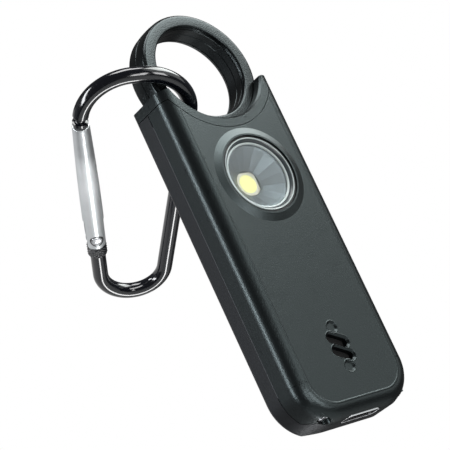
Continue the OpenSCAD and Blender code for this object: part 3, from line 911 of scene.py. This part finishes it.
@dataclass
class Lamp:
    """Lens, seal, faceted reflector and lamp chip in the front cover."""

    z: float = 50.2
    lens_r: float = 7.9
    lens_front: float = -5.65
    lens_back: float = -4.3
    dish: float = 0.9
    border: float = 1.2
    clear: float = 0.02
    bead_w: float = 0.42
    bead_rise: Pair = (0.08, 0.2)
    slope_rise: float = 0.05
    slope_drop: float = 0.22
    lip_w: float = 0.22
    lip_drop: float = 0.08
    arch: float = 0.3
    lens_steps: int = 160
    lens_crease: float = 24.0
    mouth_r: float = 6.65
    foot_r: float = 2.7
    floor_y: float = -1.25
    curve: float = 0.9
    flange_r: float = 7.8
    flange_t: float = 0.5
    shell_r: float = 6.55
    skirt_r: float = 4.39
    skirt_in: float = 3.69
    skirt_y: float = -1.9
    facets: int = 16
    facet_crease: float = 2.5
    board_y: float = -0.35
    chip_w: float = 5.0
    chip_t: float = 0.65
    chip_edge: float = 0.1
    chip_top: float = 0.96
    squareness: float = 9.0
    phosphor_r: float = 2.0
    phosphor_h: float = 0.2

    def build(self) -> None:
        """All pieces of the lamp."""
        self.lens()
        self.reflector()
        self.chip()
        dress_node("lens_gasket", Finish.RUBBER)

    @cached_property
    def axes(self) -> Axes:
        """Frame of the lamp, with its axis along Y."""
        return facing_front(0.0, self.z)

    def lens(self) -> None:
        """Clear disc inside three turned rings: a raised bead and a raised lip in a pale colour painted as
        their highlights, and between them a slope in a dark colour painted as the shade on the rim's inner
        wall.
        """
        front, back, pane = self.lens_front, self.lens_back, self.lens_front + self.dish
        edge, outer = self.lens_r - self.border, self.lens_r - self.clear
        pane_profile = joined([(0.0, pane), (edge, pane), (edge, back), (0.0, back)])
        disc = turned(self.axes, pane_profile, self.lens_steps)
        make_piece("lamp_lens", [disc], Finish.LENS, Body.HOUSING, Slot.LENS, ["lens"], self.lens_crease)
        bead_in, lip_in = edge + self.clear, outer - self.lip_w
        bead_out, slope_out = bead_in + self.bead_w, lip_in - self.clear
        slope_ends = pane - self.slope_rise, front + self.slope_drop
        lip_y = front + self.lip_drop
        bead = self.ring_profile(bead_in, bead_out, pane - self.bead_rise[0], pane - self.bead_rise[1])
        slope = self.ring_profile(bead_out + self.clear, slope_out, *slope_ends)
        lip = self.ring_profile(lip_in, outer, lip_y, lip_y)
        for name, profile, finish in (
            ("lamp_bead", bead, Finish.LENS_HIGHLIGHT),
            ("lamp_rim", slope, Finish.LENS_SHADE),
            ("lamp_lip", lip, Finish.LENS_HIGHLIGHT),
        ):
            ring = turned(self.axes, profile, self.lens_steps, Wrap.BOTH)
            make_piece(name, [ring], finish, Body.HOUSING, Slot.LENS, crease=self.lens_crease)

    def ring_profile(self, r0: float, r1: float, y0: float, y1: float) -> np.ndarray:
        """Closed section of a ring: a low arch over a line from its inner to its outer front edge.

        Args:
            r0: inner radius.
            r1: outer radius.
            y0: front at the inner radius.
            y1: front at the outer radius.

        Returns:
            Radius and height of the section.
        """
        t = np.linspace(0.0, 1.0, 9)
        y = y0 + (y1 - y0) * t - self.arch * (r1 - r0) * np.sin(t * math.pi)
        front = np.stack([r0 + (r1 - r0) * t, y], axis=1)
        return joined(front, [(r1, self.lens_back), (r0, self.lens_back)])

    def reflector(self) -> None:
        """Cone whose radius follows flat facets: r times cos(half) over cos(angle in the facet)."""
        rows, steps = 14, self.facets * 6
        t = np.linspace(0.0, 1.0, rows)
        r = self.foot_r + (self.mouth_r - self.foot_r) * t
        y = self.floor_y + (self.lens_back - self.floor_y) * t ** self.curve
        flange_y = self.lens_back + self.flange_t
        profile = joined(
            np.stack([r, y], axis=1),
            [(self.flange_r, self.lens_back), (self.flange_r, flange_y), (self.shell_r, flange_y)],
            [(self.skirt_r, self.skirt_y), (self.skirt_r, self.board_y)],
            [(self.skirt_in, self.board_y), (self.skirt_in, self.floor_y)],
        )
        grid = turned(self.axes, profile, steps, Wrap.BOTH)
        half = math.pi / self.facets
        a = np.linspace(0.0, TURN, steps, endpoint=False)
        flat = math.cos(half) / np.cos(np.mod(a, 2 * half) - half)
        middle = self.axes.origin[[0, 2]]
        inner = grid.points[1 : rows - 1]
        inner[..., [0, 2]] = middle + (inner[..., [0, 2]] - middle) * flat[None, :, None]
        make_piece(
            "lamp_reflector",
            [grid],
            Finish.REFLECTOR,
            Body.HOUSING,
            Slot.REFLECTOR,
            ["reflector"],
            self.facet_crease,
        )

    def chip(self) -> None:
        """Square chip with soft corners, and the domed phosphor on it.

        The chip's outline is a circle drawn out towards a square (a superellipse).
        """
        a = np.linspace(0.0, TURN, 96, endpoint=False)
        c, s, power = np.cos(a), np.sin(a), 2.0 / self.squareness
        x = np.sign(c) * np.abs(c) ** power * self.chip_w / 2
        z = np.sign(s) * np.abs(s) ** power * self.chip_w / 2
        back, front = self.board_y, self.board_y - self.chip_t
        size = np.array([0.0, 1.0, 1.0, self.chip_top, 0.0])[:, None]
        y = np.array([back, back, front + self.chip_edge, front, front])[:, None]
        local = np.stack([size * x, size * z, np.broadcast_to(y, (len(y), len(a)))], axis=-1)
        chip = Grid(self.axes.place(local))
        make_piece("lamp_chip", [chip], Finish.CHIP, Body.HOUSING, Slot.CHIP, ["led_package"])
        t = np.linspace(0.0, math.pi / 2, 10)
        dome = np.stack([self.phosphor_r * np.sin(t), front - self.phosphor_h * np.cos(t)], axis=1)
        drop = turned(self.axes, joined(dome, [(0.0, front)]), steps=72)
        make_piece("lamp_phosphor", [drop], Finish.PHOSPHOR, Body.HOUSING, Slot.PHOSPHOR, ["led_phosphor"])


@dataclass
class Inside:
    """Pieces that the covers hide."""

    finishes: dict[str, Finish] = field(
        default_factory=lambda: {
            "main_board": Finish.BOARD,
            "battery": Finish.FOIL,
            "battery_pad": Finish.RUBBER,
            "sounder": Finish.BLACK,
            "sounder_gasket": Finish.RUBBER,
            "sound_mesh": Finish.MESH,
            "pull_switch": Finish.BLACK,
            "switch_contact": Finish.GOLD,
        }
    )

    def build(self) -> None:
        """Dresses each hidden node."""
        for node, finish in self.finishes.items():
            dress_node(node, finish)


@dataclass
class PullRing:
    """Two-part pull ring with its pin."""

    z: float = 74.95
    r_out: float = 13.095
    r_in: float = 10.0
    front_d: float = 2.85
    rear_d: float = 3.35
    edge_r: float = 0.8
    inner_edge_r: float = 0.42
    steps: int = 192
    groove: float = 0.14
    groove_at: Triple = (0.34, 0.26, 0.06)
    bevel_w: float = 0.5
    bevel_deg: float = 15.0
    seam: float = 0.12
    crown: float = 0.12

    def half_profile(self, d: float) -> np.ndarray:
        """Section of one half as radius and depth.

        From the seam along the bore to a shallow groove, up a steep bevel, round the tight
        inner edge, across the face, round the outer edge and back along a crowned outside.

        Args:
            d: depth of the half from the seam.

        Returns:
            The closed section, front half.
        """
        bore, e, i = self.r_in, self.edge_r, self.inner_edge_r
        t = np.linspace(0.0, 1.0, 8)
        out = self.r_out - self.crown * (1 - t) ** 2
        crowned = np.stack([out, -(d - e) + t * (d - e - self.seam)], axis=1)
        tilt = math.radians(self.bevel_deg)
        bevel = np.array([math.sin(tilt), -math.cos(tilt)]) * self.bevel_w
        start = np.array([bore, i - d - i * math.sin(tilt) - bevel[1]])
        middle = start + bevel + i * np.array([math.cos(tilt), math.sin(tilt)])
        mouth, deep, end = (start[1] + v for v in self.groove_at)
        return joined(
            [(bore + self.seam, 0.0), (bore, -self.seam), (bore, mouth)],
            [(bore + self.groove, deep), (bore + self.groove, end), start],
            arc(middle[0], middle[1], i, 180 + self.bevel_deg, 270, 12),
            arc(self.r_out - self.crown - e, -(d - e), e, 270, 360, 12),
            crowned[1:],
            [(self.r_out - self.seam, 0.0)],
        )

    def build(self) -> None:
        """Both halves and the pin."""
        axes = facing_front(0.0, self.z)
        front = self.half_profile(self.front_d)
        rear = self.half_profile(self.rear_d) * [1.0, -1.0]
        for name, node, profile in (
            ("ring_half_front", "ring_front", front),
            ("ring_half_rear", "ring_rear", rear),
        ):
            half = turned(axes, profile, self.steps, Wrap.BOTH)
            make_piece(name, [half], Finish.RING, Body.RING, Slot.RING, [node])
        dress_node("pull_pin", Finish.STEEL)


@dataclass
class Carabiner:
    """Wire frame, gate, rivet and spring, drawn in the plane of the loop."""

    anchor: Triple = (-4.095097, 0.3, 68.786383)
    turn_deg: Triple = (154.4, 13.8, -26.5)
    wire_r: float = 1.598
    top_r: float = 10.0
    bottom_r: float = 6.85
    half: float = 0.8
    length: float = 42.8
    nose_run: float = 3.2
    nose_round: tuple[Pair, ...] = ((0.0, -0.25), (0.06, -0.1), (0.2, 0.0))
    neck_len: float = 0.9
    neck_r: float = 1.09
    neck_slope: Pair = (-0.1, 0.02)
    neck_round: tuple[Pair, ...] = ((0.08, -0.12), (0.3, 0.0))
    rivet_y: float = 30.8
    gate_r: float = 2.15
    gate_nose_r: float = 1.75
    gate_end_r: float = 2.2
    gate_belly: float = 0.2
    nose_edge: float = 0.15
    nose_len: float = 0.6
    gap: float = 0.25
    slot_y: float = 25.9
    slot_t: float = 2.0
    overlap: float = 0.02
    end_x: tuple[float, ...] = (-2.2, -1.85, -0.9, 1.6, 1.95)
    end_cut: tuple[float, ...] = (0.8, 0.42, 0.0, 0.0, 0.12)
    collar_len: float = 2.8
    collar_r: float = 2.1
    collar_edge: float = 0.3
    collar_drop: float = 0.25
    knurl_turns: float = 9.0
    knurl_slant: float = 4.5
    knurl_deep: float = 0.16
    tang_t: float = 1.6
    tang_r: float = 1.38
    tang_half: float = 1.18
    tang_neck: float = 0.6
    tang_root: float = 1.0
    tang_edge: float = 0.1
    tang_top: float = 0.93
    rivet_r: float = 0.7
    rivet_seat: float = 0.88
    head_r: float = 1.15
    head_edge: float = 0.12
    head_dome: float = 0.28
    # Inner and outer radius, and lift, of the black ring painted as shade round the rivet heads.
    shade_r: Pair = (1.16, 1.42)
    shade_lift: Pair = (-0.1, 0.015)
    spring_turns: int = 14
    turn_steps: int = 28
    spring_y: float = 14.2
    spring_short: float = 1.6
    spring_r: float = 0.74
    spring_wire: float = 0.16

    def build(self) -> None:
        """Frame, gate, rivet and spring."""
        wire, gate, spring = self.frame_grids(), self.gate_grids(), self.spring_grid()
        make_piece("clip_wire", wire, Finish.CLIP, Body.CLIP, Slot.CLIP, ["carabiner_frame"])
        make_piece("clip_gate_bar", gate, Finish.GATE, Body.GATE, Slot.GATE, ["gate"])
        make_piece("clip_rivet", [self.rivet_grid()], Finish.STEEL, Body.GATE, Slot.STEEL, ["gate_rivet"])
        # A black ring painted as shade round each rivet head.
        make_piece("clip_rivet_painted_shade", self.rivet_painted_shade(), Finish.BLACK, Body.GATE, Slot.BLACK)
        make_piece("clip_spring", [spring], Finish.STEEL, Body.GATE, Slot.STEEL, ["gate_spring"])

    @cached_property
    def loop(self) -> Axes:
        """Frame of the loop: turns about X, then Y, then Z, as the source states them.

        Returns:
            The frame.
        """
        x, y, z = (math.radians(v) for v in self.turn_deg)
        turn = Matrix.Rotation(z, 3, "Z") @ Matrix.Rotation(y, 3, "Y") @ Matrix.Rotation(x, 3, "X")
        rows = np.array(turn).T
        return Axes(np.array(self.anchor) - (self.top_r + self.half) * rows[0], rows)

    def leg_angle(self) -> float:
        """Lean of the legs: they touch both end circles from outside."""
        reach = math.hypot(self.length, self.half)
        return math.asin((self.top_r - self.bottom_r) / reach) + math.atan2(self.half, self.length)

    def leg_length(self) -> float:
        """Length of a leg between its two touching points."""
        return math.sqrt(self.length ** 2 + self.half ** 2 - (self.top_r - self.bottom_r) ** 2)

    @cached_property
    def leg(self) -> Axes:
        """Frame of the gate's leg: x outward, y down the leg from the nose, z across the loop."""
        base = self.loop.inside((-self.half, 0.0, 0.0), math.pi + self.leg_angle())
        return base.inside((self.top_r, 0.0, 0.0))

    def collar_y(self) -> float:
        """Start of the hinge collar down the gate's leg."""
        return self.rivet_y + self.gate_end_r + self.gap

    def gate_size(self, y: np.ndarray | float) -> np.ndarray | float:
        """Radius of the gate's bar at a place down the leg: a taper with a slight belly."""
        t = (y - self.gap) / (self.rivet_y + self.gate_end_r)
        return self.gate_nose_r + (self.gate_r - self.gate_nose_r) * t + self.gate_belly * np.sin(t * math.pi)

    def wire_size(self, run: np.ndarray) -> np.ndarray:
        """Radius of the wire: a rounded nose head, a neck, then the full wire.

        Args:
            run: lengths along the wire from its nose.

        Returns:
            The radii.
        """
        full, neck, n = self.wire_r, self.neck_r, self.neck_len
        before, after = self.neck_slope
        head = [(at, full + change) for at, change in self.nose_round]
        waist = [(n + before, full), (n + after, neck), (2 * n + before, neck)]
        rest = [(2 * n + at, full + change) for at, change in self.neck_round]
        marks, sizes = np.array(head + waist + rest).T
        return np.interp(run, marks, sizes)

    def wire_path(self) -> np.ndarray:
        """Middle line of the wire from nose to hinge collar: arc, flat, arc, spine, arc, stub.

        Returns:
            Array of n x 2, in the plane of the loop.
        """
        lean = math.degrees(self.leg_angle())
        top_left = arc(-self.half, 0.0, self.top_r, 180 + lean, 90, 120)
        top_right = arc(self.half, 0.0, self.top_r, 90, -lean, 70)
        bottom = arc(0.0, -self.length, self.bottom_r, -lean, -180 + lean, 90)
        t = np.linspace(0.0, 1.0, 40)[1:-1, None]
        spine = top_right[-1] * (1 - t) + bottom[0] * t
        down = np.array([math.sin(self.leg_angle()), -math.cos(self.leg_angle())])
        stub_end = bottom[-1] - down * (self.leg_length() - self.collar_y() - self.collar_len / 2)
        stub = bottom[-1] * (1 - t[::4]) + stub_end * t[::4]
        return joined(top_left, top_right, spine, bottom, stub, stub_end)

    def frame_grids(self) -> list[Grid]:
        """Wire with its necked nose, the knurled hinge collar and the flat tang.

        Returns:
            The three grids.
        """
        way = self.wire_path()
        run = np.concatenate([[0.0], np.cumsum(np.linalg.norm(np.diff(way, axis=0), axis=1))])
        nose, rest = np.linspace(0.0, self.nose_run, 65), np.linspace(self.nose_run, run[-1], 260)
        even = np.unique(np.concatenate([nose, rest]))
        x, y = np.interp(even, run, way[:, 0]), np.interp(even, run, way[:, 1])
        path = self.loop.place(np.stack([x, y, np.zeros_like(x)], axis=1))
        across = np.broadcast_to(self.loop.rows[2], path.shape)
        wire = Grid(closed(swept(path, across, self.wire_size(even), steps=40)))
        return [wire, self.knurled_collar(), self.tang()]

    def knurled_collar(self) -> Grid:
        """Collar with a diamond knurl: two crossed spiral waves cut into its radius.

        Returns:
            The grid.
        """
        axes = Axes(self.leg.place(np.array([0.0, self.collar_y(), 0.0])), self.leg.rows[[2, 0, 1]])
        rows, cols = np.linspace(0.0, self.collar_len, 40), np.linspace(0.0, TURN, 144, endpoint=False)
        h, a = np.meshgrid(rows, cols, indexing="ij")
        one, other = self.knurl_turns * a + self.knurl_slant * h, self.knurl_turns * a - self.knurl_slant * h
        cut = np.abs(np.sin(one)) * np.abs(np.sin(other))
        edge = np.clip(np.minimum(h, self.collar_len - h) / self.collar_edge, 0.0, 1.0)
        r = self.collar_r - self.knurl_deep * (1 - cut) * edge - self.collar_drop * (1 - edge) ** 2
        return Grid(axes.place(closed(np.stack([r * np.cos(a), r * np.sin(a), h], axis=-1))))

    def tang(self) -> Grid:
        """Flat tongue with a round end, lofted from its outline at six sizes and heights.

        Returns:
            The grid.
        """
        half, near, far = self.tang_half, self.rivet_y + self.tang_neck, self.collar_y() + self.tang_root
        end = arc(0.0, self.rivet_y, self.tang_r, 0, -180, 24)
        outline = joined(end, [(-half, near), (-half, far), (half, far), (half, near)])
        middle = np.array([0.0, self.rivet_y + self.tang_root])
        t, edge, top = self.tang_t / 2, self.tang_edge, self.tang_top
        size = np.array([0.0, top, 1.0, 1.0, top, 0.0])[:, None, None]
        height = np.array([-t, -t, edge - t, t - edge, t, t])[:, None, None]
        flat = middle + (outline - middle) * size
        z = np.broadcast_to(height, flat.shape[:2] + (1,))
        return Grid(self.leg.place(np.concatenate([flat, z], axis=-1)))

    def gate_grids(self) -> list[Grid]:
        """Tapered bar with a rounded nose, ending in two cheeks beside the tang.

        Returns:
            The bar and both cheeks.
        """
        start, stop = self.gap, self.slot_y
        turn = np.linspace(0.0, math.pi / 2, 8)
        nose = start + self.nose_edge * (1 - np.cos(turn))
        y = np.concatenate([nose, np.linspace(start + self.nose_len, stop, 30)])
        r = self.gate_size(y)
        r[: len(turn)] -= self.nose_edge * (1 - np.sin(turn))
        axes = Axes(self.leg.origin, self.leg.rows[[2, 0, 1]])
        bar = turned(axes, joined([(0.0, start)], np.stack([r, y], axis=1), [(0.0, stop)]), steps=72)
        return [bar, self.cheek(-1.0), self.cheek(1.0)]

    def cheek(self, side: float) -> Grid:
        """One cheek: the part of the bar's circle beyond the slot, carried down the leg.

        Its end is square outward and cut back inward, where it turns past the collar.

        Args:
            side: -1 or 1, the side of the slot.

        Returns:
            The grid.
        """
        half, start, root = self.slot_t / 2, self.slot_y - self.overlap, self.gate_size(self.slot_y)
        reach = math.acos(half / root)
        a = np.linspace(-reach, reach, 40)
        stop = self.rivet_y + self.gate_end_r - np.interp(root * np.sin(a), self.end_x, self.end_cut)
        y = start + np.linspace(0.0, 1.0, 26)[:, None] * (stop - start)
        r = self.gate_size(y)
        outer = np.stack([r * np.sin(a), y, side * np.maximum(r * np.cos(a), half)], axis=-1)
        inner = outer[:, ::-1].copy()
        inner[..., 2] = side * half
        return Grid(self.leg.place(closed(np.concatenate([outer, inner], axis=1))))

    def rivet_grid(self) -> Grid:
        """Pin with a domed head at each end, turned about the rivet's axis.

        Returns:
            The grid.
        """
        seat = self.rivet_seat * self.gate_r
        t = np.linspace(0.0, math.pi / 2, 8)
        dome = np.stack([self.head_r * np.cos(t), seat + self.head_edge + self.head_dome * np.sin(t)], axis=1)
        upper = joined([(self.rivet_r, 0.0), (self.rivet_r, seat), (self.head_r, seat)], dome)
        lower = upper[::-1] * [1.0, -1.0]
        axes = Axes(self.leg.place(np.array([0.0, self.rivet_y, 0.0])), self.leg.rows)
        return turned(axes, joined(lower, upper[1:]), steps=64)

    def rivet_painted_shade(self) -> list[Grid]:
        """Painted shade round each rivet head: a flat black ring laid on the bar's round side, standing in
        for the shadow in the gap under the head.

        Its height at each point is that of the bar's circle there, a hair above or below.

        Returns:
            The ring on each side.
        """
        (r_in, r_out), (under, over) = self.shade_r, self.shade_lift
        a = np.linspace(0.0, TURN, 64, endpoint=False)
        r = np.array([r_in, r_in, r_out, r_out])[:, None]
        lift = np.array([under, over, over, under])[:, None]
        x, y = r * np.cos(a), self.rivet_y + r * np.sin(a)
        z = np.sqrt(self.gate_size(y) ** 2 - x ** 2) + lift
        return [Grid(self.leg.place(np.stack([x, y, side * z], axis=-1)), Wrap.BOTH) for side in (-1.0, 1.0)]

    def spring_grid(self) -> Grid:
        """Wound coil: a helix about the leg, with the radial direction as its across.

        Returns:
            The grid.
        """
        a = np.linspace(0.0, self.spring_turns * TURN, self.spring_turns * self.turn_steps)
        out = np.stack([np.cos(a), np.zeros_like(a), np.sin(a)], axis=1)
        local = self.spring_r * out
        local[:, 1] = np.linspace(self.spring_y, self.rivet_y - self.spring_short - self.gap, len(a))
        radius = np.full(len(a), self.spring_wire)
        radius[[0, -1]] = 0.0
        return Grid(swept(self.leg.place(local), out @ self.leg.rows, radius, steps=10))


# Studio


@dataclass(frozen=True)
class SoftLamp:
    """A soft lamp, placed by the picture's right, up and back directions.

    Args:
        name: the lamp's name.
        toward: direction from the object, along right, up and back.
        far_mm: distance from the object.
        width_mm: width of its face.
        height_mm: height of its face.
        level: brightness of its face, where paper white is 1.
        tint: colour of its light.
        roll_deg: turn of its face about its own axis.
        aim_mm: point that it faces.
    """

    name: str
    toward: Triple
    far_mm: float
    width_mm: float
    height_mm: float
    level: float
    tint: Colour = (1.0, 1.0, 1.0)
    roll_deg: float = 0.0
    aim_mm: Triple = (-3.0, 6.0, 45.0)


PICTURE_ROLL = -24.7
ARC_SPOT = (-16.3, 23.4, 66.5)
BEND_SPOT = (1.9, 47.3, 50.5)
LAMPS: tuple[SoftLamp, ...] = (
    SoftLamp("top_box", (0.42, 0.88, -0.16), 450.0, 420.0, 240.0, 7.0, (0.96, 1.0, 0.98)),
    SoftLamp("right_box", (0.7, 0.68, 0.19), 600.0, 760.0, 560.0, 0.86, (0.96, 1.0, 0.98)),
    SoftLamp("left_strip", (-0.95, -0.05, 0.31), 500.0, 90.0, 620.0, 13.0, (0.95, 0.97, 1.0)),
    SoftLamp("front_strip", (0.33, 0.1, 0.94), 300.0, 53.0, 150.0, 7.0, roll_deg=PICTURE_ROLL),
    SoftLamp("crown_lamp", (-0.22, 0.97, 0.05), 480.0, 260.0, 180.0, 7.0),
    SoftLamp("corner_lamp", (0.7, 0.25, 0.66), 500.0, 180.0, 180.0, 6.5),
    SoftLamp("under_lamp", (0.3, -0.95, -0.04), 240.0, 46.0, 60.0, 11.0, aim_mm=ARC_SPOT),
    SoftLamp("bend_lamp", (0.1, 0.45, 0.89), 40.0, 36.0, 10.0, 7.0, roll_deg=PICTURE_ROLL, aim_mm=BEND_SPOT),
    SoftLamp("side_fill", (-0.965, -0.2, -0.17), 500.0, 200.0, 500.0, 0.12, (0.9, 0.95, 1.0)),
    SoftLamp("rear_box", (-0.523, -0.459, -0.718), 150.0, 200.0, 240.0, 0.45),
)


@dataclass
class Studio:
    """Camera, soft lamps, pale floor and white surround."""

    right: Triple = (0.7489195, -0.5233023, -0.4065393)
    up: Triple = (0.1541661, -0.4590694, 0.8749217)
    back: Triple = (-0.6444783, -0.7179206, -0.2631306)
    place_mm: Triple = (-254.1217, -273.2017, -56.8045)
    lens_mm: float = 160.0
    sensor_mm: float = 36.0
    clip_m: Pair = (0.01, 20.0)
    fill_level: float = 0.07
    floor_z: float = -400.0
    floor_half: float = 450.0
    floor_glow: float = 0.62
    floor_dark: Colour = (0.74, 0.74, 0.74)
    floor_light: Colour = (0.78, 0.78, 0.78)

    def build(self) -> None:
        """Everything round the object."""
        bpy.context.scene.view_settings.view_transform = "Standard"
        self.camera()
        self.surround()
        self.floor()
        for lamp in LAMPS:
            self.place(lamp)

    def camera(self) -> None:
        """Camera at the photograph's viewing angle."""
        data = bpy.data.cameras.new("photo_camera")
        data.lens = self.lens_mm
        data.sensor_width = self.sensor_mm
        data.clip_start, data.clip_end = self.clip_m
        made = bpy.data.objects.new("photo_camera", data)
        turn = Matrix((self.right, self.up, self.back)).transposed().to_4x4()
        made.matrix_world = Matrix.Translation(Vector(self.place_mm) * MM) @ turn
        bpy.context.scene.collection.objects.link(made)
        bpy.context.scene.camera = made

    def surround(self) -> None:
        """White for camera and glass rays; a plain soft level of light for the rest."""
        world = bpy.data.worlds.new("white_surround")
        bpy.context.scene.world = world
        world.use_nodes = True
        world.node_tree.nodes.clear()
        s = Nodes(world.node_tree)
        path = s.node("ShaderNodeLightPath")
        seen = s.math("MAXIMUM", path.outputs["Is Camera Ray"], path.outputs["Is Transmission Ray"])
        level = s.span(seen, self.fill_level, 1.0)
        light = s.node("ShaderNodeBackground", Color=(1.0, 1.0, 1.0, 1.0), Strength=level)
        s.node("ShaderNodeOutputWorld", Surface=light.outputs["Background"])

    def floor(self) -> None:
        """Plain pale floor below the object, lifted towards white for camera rays in every view."""
        side = np.linspace(-self.floor_half, self.floor_half, 3)
        x, y = np.meshgrid(side, side)
        grid = Grid(np.stack([x, y, np.full_like(x, self.floor_z)], axis=-1), Wrap.NONE)
        mesh = bpy.data.meshes.new("pale_floor")
        mesh.from_pydata((grid.points.reshape(-1, 3) * MM).tolist(), [], grid.faces(0).tolist())
        s = Shader("floor_pale")
        grain = s.effect(Effects.grain(), Vector=s.coord, Per_Metre=60.0)
        colour = s.blend(grain.outputs["Tone"], self.floor_dark, self.floor_light)
        seen = s.node("ShaderNodeLightPath").outputs["Is Camera Ray"]
        glow = s.blend(seen, (0.0, 0.0, 0.0), (self.floor_glow,) * 3)
        pale = s.finish(Base_Color=colour, Roughness=0.8, Emission_Color=glow, Emission_Strength=1.0)
        mesh.materials.append(pale)
        made = bpy.data.objects.new("pale_floor", mesh)
        bpy.context.scene.collection.objects.link(made)

    def place(self, lamp: SoftLamp) -> None:
        """Sets up one lamp; its height runs with the housing before the roll.

        Args:
            lamp: the lamp's place, size and brightness.
        """
        data = bpy.data.lights.new(lamp.name, "AREA")
        data.shape = "RECTANGLE"
        data.size, data.size_y = lamp.width_mm * MM, lamp.height_mm * MM
        data.energy = lamp.level * math.pi * data.size * data.size_y
        data.color = lamp.tint
        made = bpy.data.objects.new(lamp.name, data)
        made.visible_camera = False
        across, high, near = lamp.toward
        axis = (Vector(self.right) * across + Vector(self.up) * high + Vector(self.back) * near).normalized()
        side = Vector((0.0, 0.0, 1.0)).cross(axis).normalized()
        turn = Matrix((side, axis.cross(side), axis)).transposed().to_4x4()
        spot = Matrix.Translation((Vector(lamp.aim_mm) + axis * lamp.far_mm) * MM)
        made.matrix_world = spot @ turn @ Matrix.Rotation(math.radians(lamp.roll_deg), 4, "Z")
        bpy.context.scene.collection.objects.link(made)


def main() -> None:
    """Builds the alarm's pieces in order."""
    logging.basicConfig(level=logging.INFO, format="%(name)s %(message)s")
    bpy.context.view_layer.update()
    for part in (Housing(), BottomEnd(), Lamp(), Inside(), PullRing(), Carabiner(), Studio()):
        LOG.info("building %s", type(part).__name__)
        part.build()


if __name__ == "__main__":
    main()
